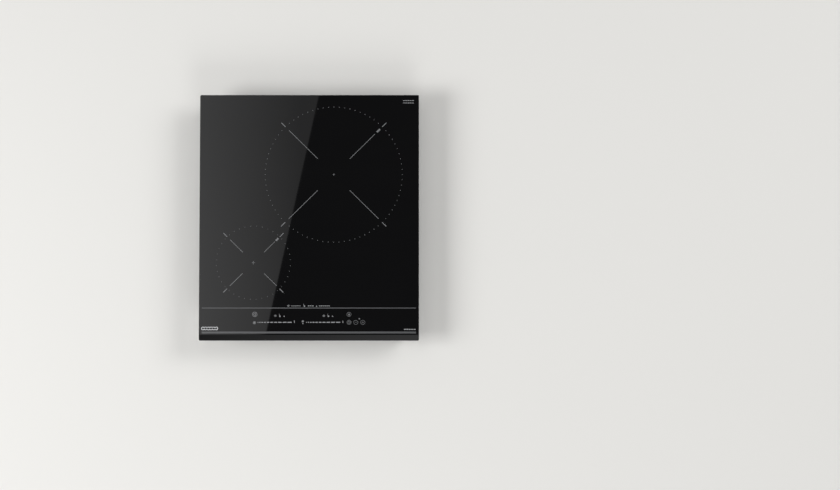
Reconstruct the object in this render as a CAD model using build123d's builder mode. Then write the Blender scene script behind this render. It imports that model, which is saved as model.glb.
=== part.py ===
"""A built-in induction cooktop with two zones, modelled piece by piece.

Millimetres, +Z up, front edge towards -Y.  The origin is the centre of the underside, where the
casing rests on a table.
"""

import os
from math import cos, pi, radians, sin, tan

from build123d import *

# ---------------------------------------------------------------- driving dimensions
# glass plate
glass_width = 450.0
glass_depth = 510.0
overall_height = 60.0
glass_thickness = 4.0
glass_corner = 3.0
bevel_width = 12.0  # plan width of the ground bevel along the front
bevel_drop = 2.2
ground_edge = 0.4  # arris round the rest of the plate
front_arris = 0.8

# sealing tape, adhesive and frame under the glass
seal_thickness = 2.0
seal_width = 6.0
seal_inset = 3.0
seal_corner = 6.0
adhesive_thickness = 1.0
adhesive_width = 8.0
frame_gauge = 1.0
frame_flange = 14.0
frame_leg = 18.0
frame_corner = 2.5

# casing, a stepped tray folded from galvanised sheet
side_overhang = 23.0
end_overhang = 13.0
sheet = 0.8
bend = 2.0  # outer bend radius
ledge_width = 34.0
ledge_height = 9.0
wall_clearance = 0.5  # casing wall stops this far under the frame's top
slot_width = 3.5
slot_pitch = 8.0
front_slot_height = 20.0
front_slot_bottom = 15.0
floor_slot_length = 18.0
floor_slot_from_front = 15.0
side_slots = 13
bead_width = 10.0
bead_length = 180.0
bead_rise = 0.8
bead_pitch = 70.0
bead_y = -45.0
beads = 4

# fits
fit_gap = 0.15
running_gap = 0.08
thrust_gap = 0.3
thread_gap = 0.05

# casing screws
wall_screw_radius = 1.75
wall_screw_length = 6.0
wall_screw_head = 3.4
wall_screw_head_height = 1.9
wall_screw_drop = 10.0  # below the frame's top
wall_screw_from_corner = 70.0

# swing clamps under the worktop
clamp_inset = 16.0  # pivot from the casing's side
clamp_from_end = 52.0
clamp_bottom = 3.6
clamp_gauge = 2.0
clamp_reach = 30.0
clamp_width = 15.0
clamp_boss = 5.5
clamp_pad = 6.0
clamp_screw_radius = 2.5
clamp_head = 4.6
clamp_head_height = 2.3
clamp_nut = 5.0
clamp_nut_height = 4.0
clamp_screw_tail = 1.2  # thread showing past the nut

# shelf that carries the coils
plate_gauge = 1.5
plate_top = 35.5
plate_margin = 4.0
plate_skirt = 6.0
front_bay = 72.0  # space kept for the controls, from the inside of the front wall
standoff_flats = 7.0
standoff_inset = 12.0
standoff_from_end = 14.0
shelf_screw_radius = 2.0
shelf_screw_length = 7.0
shelf_screw_head = 3.8
shelf_screw_head_height = 2.2

# coils
coil_gap_under_glass = 0.1
large_coil_side_gap = 5.0  # from the frame's flange
large_coil_back_gap = 6.0
small_coil_side_gap = 3.0
small_coil_front_gap = 5.0  # from the shelf's front edge
mica_thickness = 0.6
winding_height = 3.4
carrier_thickness = 1.6
ferrite_thickness = 5.0
shield_thickness = 1.0
carrier_rim = 2.0
sensor_radius = 7.0
sensor_collar = 2.0
spring_radius = 5.5
spring_wire = 1.2
lead_diameter = 3.2
wire_diameter = 2.6

large_winding_radius = 130.0
large_winding_bore = 24.0
large_winding_gap = (66.0, 80.0)  # space between the inner and the outer winding
large_ferrites = 12
large_ferrite_width = 14.0
large_springs = 4
small_winding_radius = 68.0
small_winding_bore = 18.0
small_ferrites = 8
small_ferrite_width = 12.0
small_springs = 3
ferrite_inset = 5.0  # ferrite ends from the winding's edges

# fan
fan_wheel_radius = 38.0
fan_wheel_height = 18.0
fan_blades = 30
fan_blade_depth = 8.0
fan_blade_gauge = 0.9
fan_tip_gap = 2.5
fan_growth = 8.0  # scroll radius gained in each quarter turn
fan_wall = 1.6
fan_height = 28.0
fan_eye_radius = 29.0
fan_hub_radius = 18.0
fan_hub_wall = 1.5
fan_motor_radius = 14.0
fan_shaft_radius = 1.5
fan_outlet_length = 8.0
fan_clearance = 3.0  # to the casing

# power board
board_thickness = 1.6
board_lift = 7.2
board_width = 215.0
board_depth = 250.0
board_margin = 4.0
board_corner = 3.0
board_front_gap = 66.0  # from the inside of the front wall
support_radius = 3.0
heatsink_width = 34.0
heatsink_length = 130.0
heatsink_height = 15.8
heatsink_base = 4.0
heatsink_fins = 10
heatsink_fin_gauge = 1.2
duct_wall = 1.2
duct_gap = 1.0
package_width = 15.8
package_length = 20.8
package_thickness = 4.8
package_lift = 0.8

capacitor_length = 31.0
capacitor_width = 14.0
capacitor_height = 19.0
choke_radius = 17.0
choke_bore = 8.0
choke_height = 15.0
post_height = 5.0
header_height = 8.0
ribbon_width = 20.0
lead_drop = 8.0  # depth of the coil leads' run below the shelf
lead_fall = 2.0  # how far a coil lead falls along its run
lead_gap = 0.3  # room between leads that cross

# mains filter board
filter_width = 92.0
filter_depth = 82.0
filter_choke_radius = 19.0
filter_choke_height = 18.0

# terminal box at the back
terminal_width = 74.0
terminal_depth = 34.0
terminal_height = 30.0
terminal_wall = 1.6
terminal_bottom = 3.0
terminal_proud = 2.0  # past the casing's back wall
inlet_bay = 27.0
inlet_bore = 6.2
inlet_body = 8.0
inlet_flange = 10.0
inlet_flange_thickness = 1.6
inlet_depth = 8.0
inlet_height = 15.0
cover_thickness = 2.0
cover_gap = 0.3
cover_barrel = 1.8
cover_pin = 1.2
cover_pin_reach = 0.7  # into each side wall
block_width = 62.0
block_depth = 14.0
block_height = 15.0
block_poles = 5

# touch controls
control_width = 244.0
control_depth = 42.0
control_height = 10.0
control_wall = 1.5
control_floor = 1.4
control_gap_under_glass = 0.3
control_frame_gap = 0.5
control_board_lift = 2.0
control_post_radius = 4.0
control_post_inset = 12.0
control_post_spread = 12.0
control_spring_height = 8.0
key_row = 3.0  # from the middle of the control board
slider_row = -13.0
slider_length = 78.0
slider_width = 7.0
slider_pitch = 99.0  # from one zone's slider to the next
slider_middle = -67.0
key_radius = 4.0
key_pitch = 9.2

# ---------------------------------------------------------------- places worked out from them
glass_bottom = overall_height - glass_thickness
frame_top = glass_bottom - adhesive_thickness
case_x = glass_width / 2 - side_overhang
case_y = glass_depth / 2 - end_overhang
case_top = frame_top - wall_clearance
inner_x = case_x - sheet
inner_y = case_y - sheet
tub_x = case_x - ledge_width
tub_inner_x = tub_x - sheet
leg_x = inner_x - fit_gap
leg_y = inner_y - fit_gap
ledge_top = ledge_height + sheet

plate_bottom = plate_top - plate_gauge
plate_front = -inner_y + front_bay
plate_back = inner_y - plate_margin

coil_top = glass_bottom - coil_gap_under_glass
winding_top = coil_top - mica_thickness
carrier_top = winding_top - winding_height
ferrite_top = carrier_top - carrier_thickness
shield_top = ferrite_top - ferrite_thickness
shield_bottom = shield_top - shield_thickness

large_radius = large_winding_radius + carrier_rim
small_radius = small_winding_radius + carrier_rim
large_x = leg_x - frame_flange - large_coil_side_gap - large_radius
large_y = leg_y - frame_flange - large_coil_back_gap - large_radius
small_x = -(leg_x - frame_flange - small_coil_side_gap - small_radius)
small_y = plate_front + small_coil_front_gap + small_radius

fan_scroll = fan_wheel_radius + fan_tip_gap + fan_growth / 2  # first and smallest scroll radius
fan_x = -tub_inner_x + fan_clearance + fan_wall + fan_scroll + 3.5 * fan_growth
fan_y = inner_y - fan_clearance - fan_wall - fan_scroll - 2.5 * fan_growth
fan_left = -fan_scroll - 3.5 * fan_growth  # inside of the outlet's outer wall, from the shaft
fan_tongue = -fan_scroll + fan_growth / 2 + 3.0
fan_outlet = -fan_growth / 2 - fan_scroll - fan_outlet_length
fan_bottom = sheet
fan_top = fan_bottom + fan_height
fan_wheel_bottom = fan_bottom + fan_wall + fan_tip_gap

board_bottom = sheet + board_lift
board_top = board_bottom + board_thickness
board_left = -tub_inner_x + board_margin
board_front = -inner_y + board_front_gap
package_bottom = board_top + package_lift
heatsink_bottom = package_bottom + package_thickness
heatsink_x = fan_x + (fan_left + fan_tongue) / 2
heatsink_front = board_front + 115.0
heatsink_top = heatsink_bottom + heatsink_height

box_right = tub_inner_x - 4.0
box_left = box_right - terminal_width
box_front = inner_y - terminal_depth
inlet_x = box_left - inlet_bay / 2
hinge_z = terminal_bottom + terminal_wall + cover_gap + cover_barrel
box_back = case_y + terminal_proud
hinge_y = box_back - terminal_proud / 2 - cover_thickness / 2

filter_left = box_right - filter_width
filter_front = box_front - 12.0 - filter_depth

control_top = glass_bottom - control_gap_under_glass
control_bottom = control_top - control_height
control_y = -(leg_y - frame_flange) + control_frame_gap + control_depth / 2
control_board_bottom = control_bottom + control_floor + control_board_lift
control_board_top = control_board_bottom + board_thickness

os.makedirs("parts", exist_ok=True)
UP = (Align.CENTER, Align.CENTER, Align.MIN)
DOWN = (Align.CENTER, Align.CENTER, Align.MAX)


def finish(piece, name):
    """Labels a finished piece and writes it to its own STEP file."""
    piece.part.label = name
    export_step(piece.part, f"parts/{name}.step")


def pan_screw(shank_radius, shank_length, head_radius, head_height):
    """A cross-recessed pan-head screw: shank below its origin, head above."""
    with BuildPart(mode=Mode.PRIVATE) as made:
        Cylinder(shank_radius, shank_length, align=DOWN)
        Cylinder(head_radius, head_height, align=UP)
        fillet(made.faces().sort_by(Axis.Z)[-1].edges(), head_height * 0.4)
        with Locations((0, 0, head_height)):
            Box(head_radius, head_radius * 0.22, head_height, mode=Mode.SUBTRACT)
            Box(head_radius * 0.22, head_radius, head_height, mode=Mode.SUBTRACT)
    return made.part


def ring(width, depth, corner, rim, bottom, height):
    """A rectangular ring of even width rim, standing on the plane z = bottom."""
    with BuildSketch(Plane.XY.offset(bottom)) as outline:
        RectangleRounded(width, depth, corner)
        RectangleRounded(width - 2 * rim, depth - 2 * rim, max(corner - rim, 0.5), mode=Mode.SUBTRACT)
    extrude(outline.sketch, amount=height)


def lead(points, diameter):
    """A round wire along straight runs joined by tangent arcs, each as large as its runs allow."""
    runs = [Vector(*b) - Vector(*a) for a, b in zip(points, points[1:])]
    radii = []
    for before, after in zip(runs, runs[1:]):
        half_turn = radians(before.get_angle(after)) / 2
        radii.append(0.45 * min(before.length, after.length) / tan(half_turn))
    with BuildLine() as path:
        route = FilletPolyline(*points, radius=radii)
    with BuildSketch(Plane(origin=route @ 0, z_dir=route % 0)) as section:
        Circle(diameter / 2)
    sweep(section.sketch, path=path.line)


def spring(foot, free_space, radius, wire):
    """A coil spring between two seats that are free_space apart, open at both ends."""
    rise = free_space - wire - 2 * thread_gap
    start = (foot[0], foot[1], foot[2] + wire / 2 + thread_gap)
    with BuildLine() as turns:
        wire_line = Helix(rise / 4, rise, radius, center=start)
    with BuildSketch(Plane(origin=wire_line @ 0, z_dir=wire_line % 0)) as section:
        Circle(wire / 2)
    sweep(section.sketch, path=turns.line, is_frenet=True)


# ---------------------------------------------------------------- glass, seal, adhesive, frame
front = -glass_depth / 2
with BuildPart() as glass_top:
    with BuildSketch(Plane.XY.offset(glass_bottom)):
        RectangleRounded(glass_width, glass_depth, glass_corner)
    extrude(amount=glass_thickness)
    chamfer(glass_top.faces().sort_by(Axis.Z)[-1].edges(), ground_edge)
    chamfer(glass_top.faces().sort_by(Axis.Z)[0].edges(), ground_edge)
    slope = bevel_drop / bevel_width
    with BuildSketch(Plane.YZ.offset(-glass_width / 2)):
        with BuildLine():
            Polyline(
                (front + bevel_width, overall_height),
                (front - 1, overall_height - bevel_drop - slope),
                (front - 1, overall_height + 1),
                (front + bevel_width, overall_height + 1),
                close=True,
            )
        make_face()
    extrude(amount=glass_width, mode=Mode.SUBTRACT)
    chamfer(glass_top.edges().filter_by(Axis.X).group_by(Axis.Y)[0].sort_by(Axis.Z)[-1], front_arris)
finish(glass_top, "glass_top")

with BuildPart() as rim_seal:
    ring(
        glass_width - 2 * seal_inset,
        glass_depth - 2 * seal_inset,
        seal_corner,
        seal_width,
        glass_bottom - seal_thickness,
        seal_thickness,
    )
finish(rim_seal, "rim_seal")

adhesive_inset = (frame_flange - adhesive_width) / 2
with BuildPart() as frame_adhesive:
    ring(
        2 * (leg_x - adhesive_inset),
        2 * (leg_y - adhesive_inset),
        4.0,
        adhesive_width,
        frame_top,
        adhesive_thickness,
    )
finish(frame_adhesive, "frame_adhesive")

wall_screw_z = frame_top - wall_screw_drop
screw_x = case_x - wall_screw_from_corner
screw_y = case_y - wall_screw_from_corner
wall_screws = []
for side in (-1, 1):
    for along in (-1, 1):
        wall_screws.append(Plane((side * case_x, along * screw_y, wall_screw_z), z_dir=(side, 0, 0)))
        wall_screws.append(Plane((along * screw_x, side * case_y, wall_screw_z), z_dir=(0, side, 0)))

with BuildPart() as support_frame:
    ring(2 * leg_x, 2 * leg_y, frame_corner, frame_flange, frame_top - frame_gauge, frame_gauge)
    ring(2 * leg_x, 2 * leg_y, frame_corner, frame_gauge, frame_top - frame_leg, frame_leg - frame_gauge)
    with Locations(*wall_screws):
        Cylinder(wall_screw_radius + thread_gap, 2 * wall_screw_length, mode=Mode.SUBTRACT)
finish(support_frame, "support_frame")

with BuildPart() as casing_screws:
    with Locations(*wall_screws):
        add(pan_screw(wall_screw_radius, wall_screw_length, wall_screw_head, wall_screw_head_height))
finish(casing_screws, "casing_screws")

# ---------------------------------------------------------------- bottom casing
clamp_pivots = {
    f"{'front' if end < 0 else 'rear'}_{'left' if side < 0 else 'right'}": (
        side * (case_x - clamp_inset),
        end * (case_y - clamp_from_end),
        end,
    )
    for side in (-1, 1)
    for end in (-1, 1)
}
pivot_points = [(x, y) for x, y, _ in clamp_pivots.values()]


def tray(inset, half_depth):
    """The stepped tray filled solid, drawn inset inside its outer skin."""
    side = case_x - inset
    step = tub_x - inset
    radius = bend - inset
    top = case_top + inset
    with BuildSketch(Plane.XZ.offset(-half_depth)) as profile:
        with BuildLine():
            Polyline(
                (-side, top),
                (-side, ledge_height + inset),
                (-step, ledge_height + inset),
                (-step, inset),
                (step, inset),
                (step, ledge_height + inset),
                (side, ledge_height + inset),
                (side, top),
                close=True,
            )
        make_face()
        rows = profile.vertices().group_by(Axis.Y)
        fillet(rows[0] + rows[1].sort_by(Axis.X)[:1] + rows[1].sort_by(Axis.X)[-1:], radius)
    with BuildPart(mode=Mode.PRIVATE) as filled:
        extrude(profile.sketch, amount=2 * half_depth)
        fillet(filled.edges().filter_by(Axis.Z), radius)
    return filled.part


with BuildPart() as bottom_casing:
    add(tray(0, case_y))
    add(tray(sheet, inner_y), mode=Mode.SUBTRACT)
    # stiffening beads pressed up into the floor
    for skin, rise_from, mode in ((sheet, sheet, Mode.ADD), (0.0, 0.0, Mode.SUBTRACT)):
        with BuildSketch(Plane.XY.offset(rise_from)):
            with Locations((0, bead_y)):
                with GridLocations(bead_pitch, 1, beads, 1):
                    SlotOverall(bead_length + 2 * skin, bead_width + 2 * skin, rotation=90)
        extrude(amount=bead_rise, mode=mode)
    # intake grille under the fan
    rows = int(fan_eye_radius // slot_pitch)
    with BuildSketch():
        with Locations((fan_x, fan_y)):
            for row in range(-rows, rows + 1):
                chord = 2 * (fan_eye_radius**2 - (row * slot_pitch) ** 2) ** 0.5 - slot_width
                with Locations((0, row * slot_pitch)):
                    SlotOverall(max(chord, 2 * slot_width), slot_width)
    extrude(amount=sheet, mode=Mode.SUBTRACT)
    # warm air leaves through the front wall, and through the floor behind it
    slots = int(2 * (tub_x - 3 * slot_pitch) // slot_pitch)
    with BuildSketch(Plane.XZ.offset(inner_y)):
        with Locations((0, front_slot_bottom + front_slot_height / 2)):
            with GridLocations(slot_pitch, 1, slots, 1):
                SlotOverall(front_slot_height, slot_width, rotation=90)
    extrude(amount=sheet, mode=Mode.SUBTRACT)
    with BuildSketch():
        with Locations((0, -inner_y + floor_slot_from_front)):
            with GridLocations(slot_pitch, 1, slots, 1):
                SlotOverall(floor_slot_length, slot_width, rotation=90)
    extrude(amount=sheet, mode=Mode.SUBTRACT)
    # side louvres next to the coils
    for side in (-1, 1):
        with BuildSketch(Plane.YZ.offset(side * case_x - sheet / 2)):
            with Locations((0, (ledge_top + frame_top - frame_leg) / 2)):
                with GridLocations(slot_pitch, 1, side_slots, 1):
                    SlotOverall(front_slot_height, slot_width, rotation=90)
        extrude(amount=sheet, both=True, mode=Mode.SUBTRACT)
    # openings for the terminal box and the cable inlet in the back wall
    with BuildSketch(Plane.XZ.offset(-case_y)):
        with Locations(((box_left + box_right) / 2, terminal_bottom + terminal_height / 2)):
            Rectangle(terminal_width + 2 * fit_gap, terminal_height + 2 * fit_gap)
        with Locations((inlet_x, inlet_height)):
            Circle(inlet_body + fit_gap)
    extrude(amount=sheet, mode=Mode.SUBTRACT)
    with Locations(*wall_screws):
        Cylinder(wall_screw_radius + fit_gap, 3 * sheet, mode=Mode.SUBTRACT)
    with Locations(*[(x, y, ledge_height) for x, y in pivot_points]):
        Cylinder(clamp_screw_radius + thread_gap, sheet, align=UP, mode=Mode.SUBTRACT)
finish(bottom_casing, "bottom_casing")

# ---------------------------------------------------------------- swing clamps
clamp_top = clamp_bottom + clamp_gauge
for corner, (pivot_x, pivot_y, end) in clamp_pivots.items():
    lying = Plane((pivot_x, pivot_y, clamp_bottom), x_dir=(0, -end, 0), z_dir=(0, 0, 1))
    with BuildPart() as clamp:
        with BuildSketch(lying):
            with Locations((clamp_reach / 2, 0)):
                SlotCenterToCenter(clamp_reach, clamp_width)
        extrude(amount=clamp_gauge)
        with BuildSketch(lying.offset(clamp_gauge)):
            Circle(clamp_boss)
        extrude(amount=ledge_height - clamp_top - thrust_gap)
        with BuildSketch(lying.offset(clamp_gauge)):
            with Locations((clamp_reach - 1.0, 0)):
                RectangleRounded(clamp_pad, clamp_width - 4.0, 1.0)
        extrude(amount=ledge_height - clamp_top - 2 * thrust_gap)
        with BuildSketch(lying):
            Circle(clamp_screw_radius + running_gap)
        extrude(amount=ledge_height, mode=Mode.SUBTRACT)
    finish(clamp, f"clamp_{corner}")

clamp_head_top = clamp_bottom - thrust_gap
clamp_shank = ledge_top + clamp_nut_height + clamp_screw_tail - clamp_head_top
with BuildPart() as clamp_screws:
    with Locations(*[Plane((x, y, clamp_head_top), z_dir=(0, 0, -1)) for x, y in pivot_points]):
        add(pan_screw(clamp_screw_radius, clamp_shank, clamp_head, clamp_head_height))
finish(clamp_screws, "clamp_screws")

with BuildPart() as clamp_nuts:
    with BuildSketch(Plane.XY.offset(ledge_top)):
        with Locations(*pivot_points):
            RegularPolygon(clamp_nut, 6)
            Circle(clamp_screw_radius + thread_gap, mode=Mode.SUBTRACT)
    extrude(amount=clamp_nut_height)
finish(clamp_nuts, "clamp_nuts")

# ---------------------------------------------------------------- coil shelf, its standoffs and screws
shelf_points = [
    (side * (case_x - standoff_inset), y)
    for side in (-1, 1)
    for y in (plate_front + standoff_from_end, (plate_front + plate_back) / 2, plate_back - standoff_from_end)
]
shelf_x = inner_x - plate_margin
large_exit = (large_x - 0.30 * large_radius, large_y - 0.82 * large_radius)
small_exit = (small_x + 0.60 * small_radius, small_y - 0.30 * small_radius)


def spring_points(x, y, radius, count):
    """Where the springs stand under a coil."""
    at = 0.82 * radius
    turns = [2 * pi * (i + 0.5) / count for i in range(count)]
    return [(x + at * cos(turn), y + at * sin(turn)) for turn in turns]


with BuildPart() as coil_plate:
    with BuildSketch(Plane.XY.offset(plate_bottom)):
        with Locations((0, (plate_front + plate_back) / 2)):
            RectangleRounded(2 * shelf_x, plate_back - plate_front, 4.0)
        with Locations(*shelf_points):
            Circle(shelf_screw_radius + fit_gap, mode=Mode.SUBTRACT)
        with Locations(large_exit, small_exit):
            SlotOverall(20.0, 12.0, mode=Mode.SUBTRACT)
        # round windows under each coil let the air through
        with Locations((large_x, large_y)):
            Circle(large_winding_bore - 4.0, mode=Mode.SUBTRACT)
            with PolarLocations(0.62 * large_radius, 8, start_angle=22.5):
                Circle(9.0, mode=Mode.SUBTRACT)
        with Locations((small_x, small_y)):
            Circle(small_winding_bore - 4.0, mode=Mode.SUBTRACT)
    extrude(amount=plate_gauge)
    for side in (-1, 1):
        with Locations((side * (shelf_x - plate_gauge / 2), (plate_front + plate_back) / 2, plate_bottom)):
            Box(plate_gauge, plate_back - plate_front - 12.0, plate_skirt, align=DOWN)
finish(coil_plate, "coil_plate")

with BuildPart() as plate_standoffs:
    with BuildSketch(Plane.XY.offset(ledge_top)):
        with Locations(*shelf_points):
            RegularPolygon(standoff_flats / 2, 6, major_radius=False)
    extrude(amount=plate_bottom - ledge_top)
    with Locations(*[(x, y, plate_bottom) for x, y in shelf_points]):
        Cylinder(shelf_screw_radius + thread_gap, shelf_screw_length, align=DOWN, mode=Mode.SUBTRACT)
finish(plate_standoffs, "plate_standoffs")

with BuildPart() as plate_screws:
    with Locations(*[(x, y, plate_top) for x, y in shelf_points]):
        add(pan_screw(shelf_screw_radius, shelf_screw_length, shelf_screw_head, shelf_screw_head_height))
finish(plate_screws, "plate_screws")


# ---------------------------------------------------------------- coils
def coil(name, x, y, radius, bore, rings, ferrites, ferrite_width, springs):
    """One coil: shield, ferrite bars, carrier, winding, mica sheet, heat sensor and springs."""
    outer = radius + carrier_rim
    hub = sensor_radius + sensor_collar
    bar = radius - bore - 2 * ferrite_inset
    middle = (radius + bore) / 2
    seats = spring_points(x, y, outer, springs)

    with BuildPart() as shield:
        with BuildSketch(Plane.XY.offset(shield_bottom)):
            with Locations((x, y)):
                Circle(outer)
                Circle(sensor_radius + fit_gap, mode=Mode.SUBTRACT)
        extrude(amount=shield_thickness)
    finish(shield, f"{name}_shield")

    with BuildPart() as bars:
        with Locations((x, y, shield_top)):
            with PolarLocations(middle, ferrites):
                Box(bar, ferrite_width, ferrite_thickness, align=UP)
    finish(bars, f"{name}_ferrites")

    with BuildPart() as carrier:
        with Locations((x, y, shield_top)):
            Cylinder(outer, winding_top - shield_top, align=UP)
        with Locations((x, y, carrier_top)):
            Cylinder(radius + fit_gap, winding_height, align=UP, mode=Mode.SUBTRACT)
            Cylinder(hub, winding_height, align=UP)
        with Locations((x, y, shield_top)):
            Cylinder(sensor_radius + fit_gap, winding_top, align=UP, mode=Mode.SUBTRACT)
            with PolarLocations(middle, ferrites):
                Box(
                    bar + 2 * fit_gap,
                    ferrite_width + 2 * fit_gap,
                    ferrite_thickness,
                    align=UP,
                    mode=Mode.SUBTRACT,
                )
        # windows between the bars, open from below up to the winding
        window = 2 * pi * middle / ferrites - ferrite_width - 8.0
        with BuildSketch(Plane.XY.offset(shield_top)):
            with Locations((x, y)):
                with PolarLocations(middle + bar * 0.12, ferrites, start_angle=180 / ferrites):
                    SlotOverall(bar * 0.68, min(window * 0.7, bar * 0.3))
        extrude(amount=winding_top - shield_top, mode=Mode.SUBTRACT)
    finish(carrier, f"{name}_carrier")

    with BuildPart() as winding:
        with BuildSketch(Plane.XY.offset(carrier_top)):
            with Locations((x, y)):
                for ring_bore, ring_radius in rings:
                    Circle(ring_radius)
                    Circle(ring_bore, mode=Mode.SUBTRACT)
        extrude(amount=winding_height)
    finish(winding, f"{name}_winding")

    with BuildPart() as mica:
        with BuildSketch(Plane.XY.offset(winding_top)):
            with Locations((x, y)):
                Circle(outer)
                Circle(sensor_radius + fit_gap, mode=Mode.SUBTRACT)
        extrude(amount=mica_thickness)
    finish(mica, f"{name}_mica")

    with BuildPart() as sensor:
        with Locations((x, y, shield_bottom)):
            Cylinder(sensor_radius, coil_top - shield_bottom, align=UP)
            Cylinder(sensor_radius - 2.5, winding_height, align=UP, mode=Mode.SUBTRACT)
        fillet(sensor.faces().sort_by(Axis.Z)[-1].edges(), 1.0)
    finish(sensor, f"{name}_sensor")

    with BuildPart() as spring_set:
        for seat_x, seat_y in seats:
            spring((seat_x, seat_y, plate_top), shield_bottom - plate_top, spring_radius, spring_wire)
    finish(spring_set, f"{name}_springs")


coil(
    "large_coil",
    large_x,
    large_y,
    large_winding_radius,
    large_winding_bore,
    [
        (large_winding_gap[1], large_winding_radius),
        (large_winding_bore, large_winding_gap[0]),
    ],
    large_ferrites,
    large_ferrite_width,
    large_springs,
)
coil(
    "small_coil",
    small_x,
    small_y,
    small_winding_radius,
    small_winding_bore,
    [(small_winding_bore, small_winding_radius)],
    small_ferrites,
    small_ferrite_width,
    small_springs,
)


# ---------------------------------------------------------------- fan
def scroll(wall):
    """The fan chamber seen from above, grown outwards by wall: a four-centre spiral and its outlet."""
    step = fan_growth
    right = fan_x + step / 2
    low = fan_y - step / 2
    radius = fan_scroll + wall
    left = right - fan_scroll - 4 * step - wall
    centres = [(right, low), (right, low + step), (right - step, low + step), (right - step, low)]
    with BuildLine() as spiral:
        for quarter, centre in enumerate(centres):
            CenterArc(centre, radius + quarter * step, 180 + 90 * quarter, 90)
        Line((left, low), (right - radius, low))
    make_face(spiral.edges())
    tongue = fan_x + fan_tongue + wall
    mouth = fan_y + fan_outlet
    with Locations(((left + tongue) / 2, (mouth + low) / 2)):
        Rectangle(tongue - left, low - mouth)


with BuildPart() as fan_housing:
    with BuildSketch(Plane.XY.offset(fan_bottom)):
        scroll(fan_wall)
    extrude(amount=fan_height)
    with BuildSketch(Plane.XY.offset(fan_bottom + fan_wall)):
        scroll(0)
    extrude(amount=fan_height, mode=Mode.SUBTRACT)
    with Locations((fan_x, fan_y, fan_bottom)):
        Cylinder(fan_eye_radius, fan_wall, align=UP, mode=Mode.SUBTRACT)
finish(fan_housing, "fan_housing")

with BuildPart() as fan_lid:
    with BuildSketch(Plane.XY.offset(fan_top)):
        scroll(fan_wall)
    extrude(amount=fan_wall)
    with Locations((fan_x, fan_y, fan_top)):
        Cylinder(fan_motor_radius + 3.0, fan_wall, align=UP, mode=Mode.SUBTRACT)
finish(fan_lid, "fan_lid")

hub_top = fan_wheel_bottom + fan_wheel_height
with BuildPart() as fan_motor:
    # flange in the lid's opening, stator and bearing tube below it
    with Locations((fan_x, fan_y, fan_top + fan_wall)):
        Cylinder(fan_motor_radius + 3.0 - fit_gap, fan_wall, align=DOWN)
        Cylinder(fan_motor_radius, fan_height - fan_wheel_height + fan_wall, align=DOWN)
        Cylinder(fan_shaft_radius + running_gap, fan_height, align=DOWN, mode=Mode.SUBTRACT)
    with Locations((fan_x, fan_y, fan_top + fan_wall)):
        Cylinder(fan_shaft_radius + 2.0, 1.0, align=UP)
finish(fan_motor, "fan_motor")

with BuildPart() as fan_shaft:
    with Locations((fan_x, fan_y, fan_wheel_bottom + 3.0)):
        Cylinder(fan_shaft_radius, fan_top - fan_wheel_bottom - 3.0, align=UP)
finish(fan_shaft, "fan_shaft")

cup_floor = fan_wheel_bottom + 3.0
with BuildPart() as fan_impeller:
    with Locations((fan_x, fan_y, hub_top)):
        Cylinder(fan_wheel_radius, fan_hub_wall, align=DOWN)
        Cylinder(fan_hub_radius, hub_top - cup_floor, align=DOWN)
    with Locations((fan_x, fan_y, hub_top)):
        Cylinder(
            fan_hub_radius - fan_hub_wall,
            hub_top - cup_floor - fan_hub_wall,
            align=DOWN,
            mode=Mode.SUBTRACT,
        )
    with Locations((fan_x, fan_y, cup_floor)):
        Cylinder(fan_shaft_radius + 2.5, 6.0, align=UP)
        Cylinder(fan_shaft_radius + thread_gap, fan_height, align=UP, mode=Mode.SUBTRACT)
    blade_root = fan_wheel_radius - fan_blade_depth
    with BuildSketch(Plane.XY.offset(fan_wheel_bottom)):
        with Locations((fan_x, fan_y)):
            Circle(fan_wheel_radius)
            Circle(fan_wheel_radius - 2.0, mode=Mode.SUBTRACT)
    extrude(amount=fan_hub_wall)
    tip = radians(12)
    with BuildLine(mode=Mode.PRIVATE) as blade_line:
        RadiusArc(
            (blade_root, 0),
            ((fan_wheel_radius - 0.6) * cos(tip), (fan_wheel_radius - 0.6) * sin(tip)),
            -1.1 * fan_blade_depth,
        )
    with BuildSketch(Plane.XY.offset(fan_wheel_bottom)):
        with Locations((fan_x, fan_y)):
            with PolarLocations(0, fan_blades):
                SlotArc(blade_line.edge(), fan_blade_gauge)
    extrude(amount=fan_wheel_height - fan_hub_wall / 2)
finish(fan_impeller, "fan_impeller")

# ---------------------------------------------------------------- power board and what stands on it
support_points = [
    (board_left + dx, board_front + dy)
    for dx in (6.0, board_width / 2, board_width - 6.0)
    for dy in (6.0, board_depth - 6.0)
]
with BuildPart() as power_board:
    with BuildSketch(Plane.XY.offset(board_bottom)):
        with Locations((board_left + board_width / 2, board_front + board_depth / 2)):
            RectangleRounded(board_width, board_depth, board_corner)
        with Locations(*support_points):
            Circle(support_radius / 2 + fit_gap, mode=Mode.SUBTRACT)
    extrude(amount=board_thickness)
finish(power_board, "power_board")

filter_points = [
    (filter_left + dx, filter_front + dy)
    for dx in (6.0, filter_width - 6.0)
    for dy in (6.0, filter_depth - 6.0)
]
with BuildPart() as board_supports:
    with Locations(*[(x, y, sheet) for x, y in support_points + filter_points]):
        Cylinder(support_radius, board_lift, align=UP)
        Cylinder(support_radius / 2, board_lift + board_thickness + 1.5, align=UP)
    with Locations(*[(x, y, board_top) for x, y in support_points + filter_points]):
        Cone(support_radius * 0.75, support_radius * 0.3, 2.0, align=UP)
finish(board_supports, "board_supports")

with BuildPart() as heatsink:
    with BuildSketch(Plane.XZ.offset(-heatsink_front)):
        with Locations((heatsink_x, heatsink_bottom + heatsink_base / 2)):
            Rectangle(heatsink_width, heatsink_base)
        with Locations((heatsink_x, heatsink_bottom + heatsink_height / 2)):
            fin_pitch = (heatsink_width - heatsink_fin_gauge) / (heatsink_fins - 1)
            with GridLocations(fin_pitch, 1, heatsink_fins, 1):
                Rectangle(heatsink_fin_gauge, heatsink_height)
    extrude(amount=-heatsink_length)
finish(heatsink, "heatsink")

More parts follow.
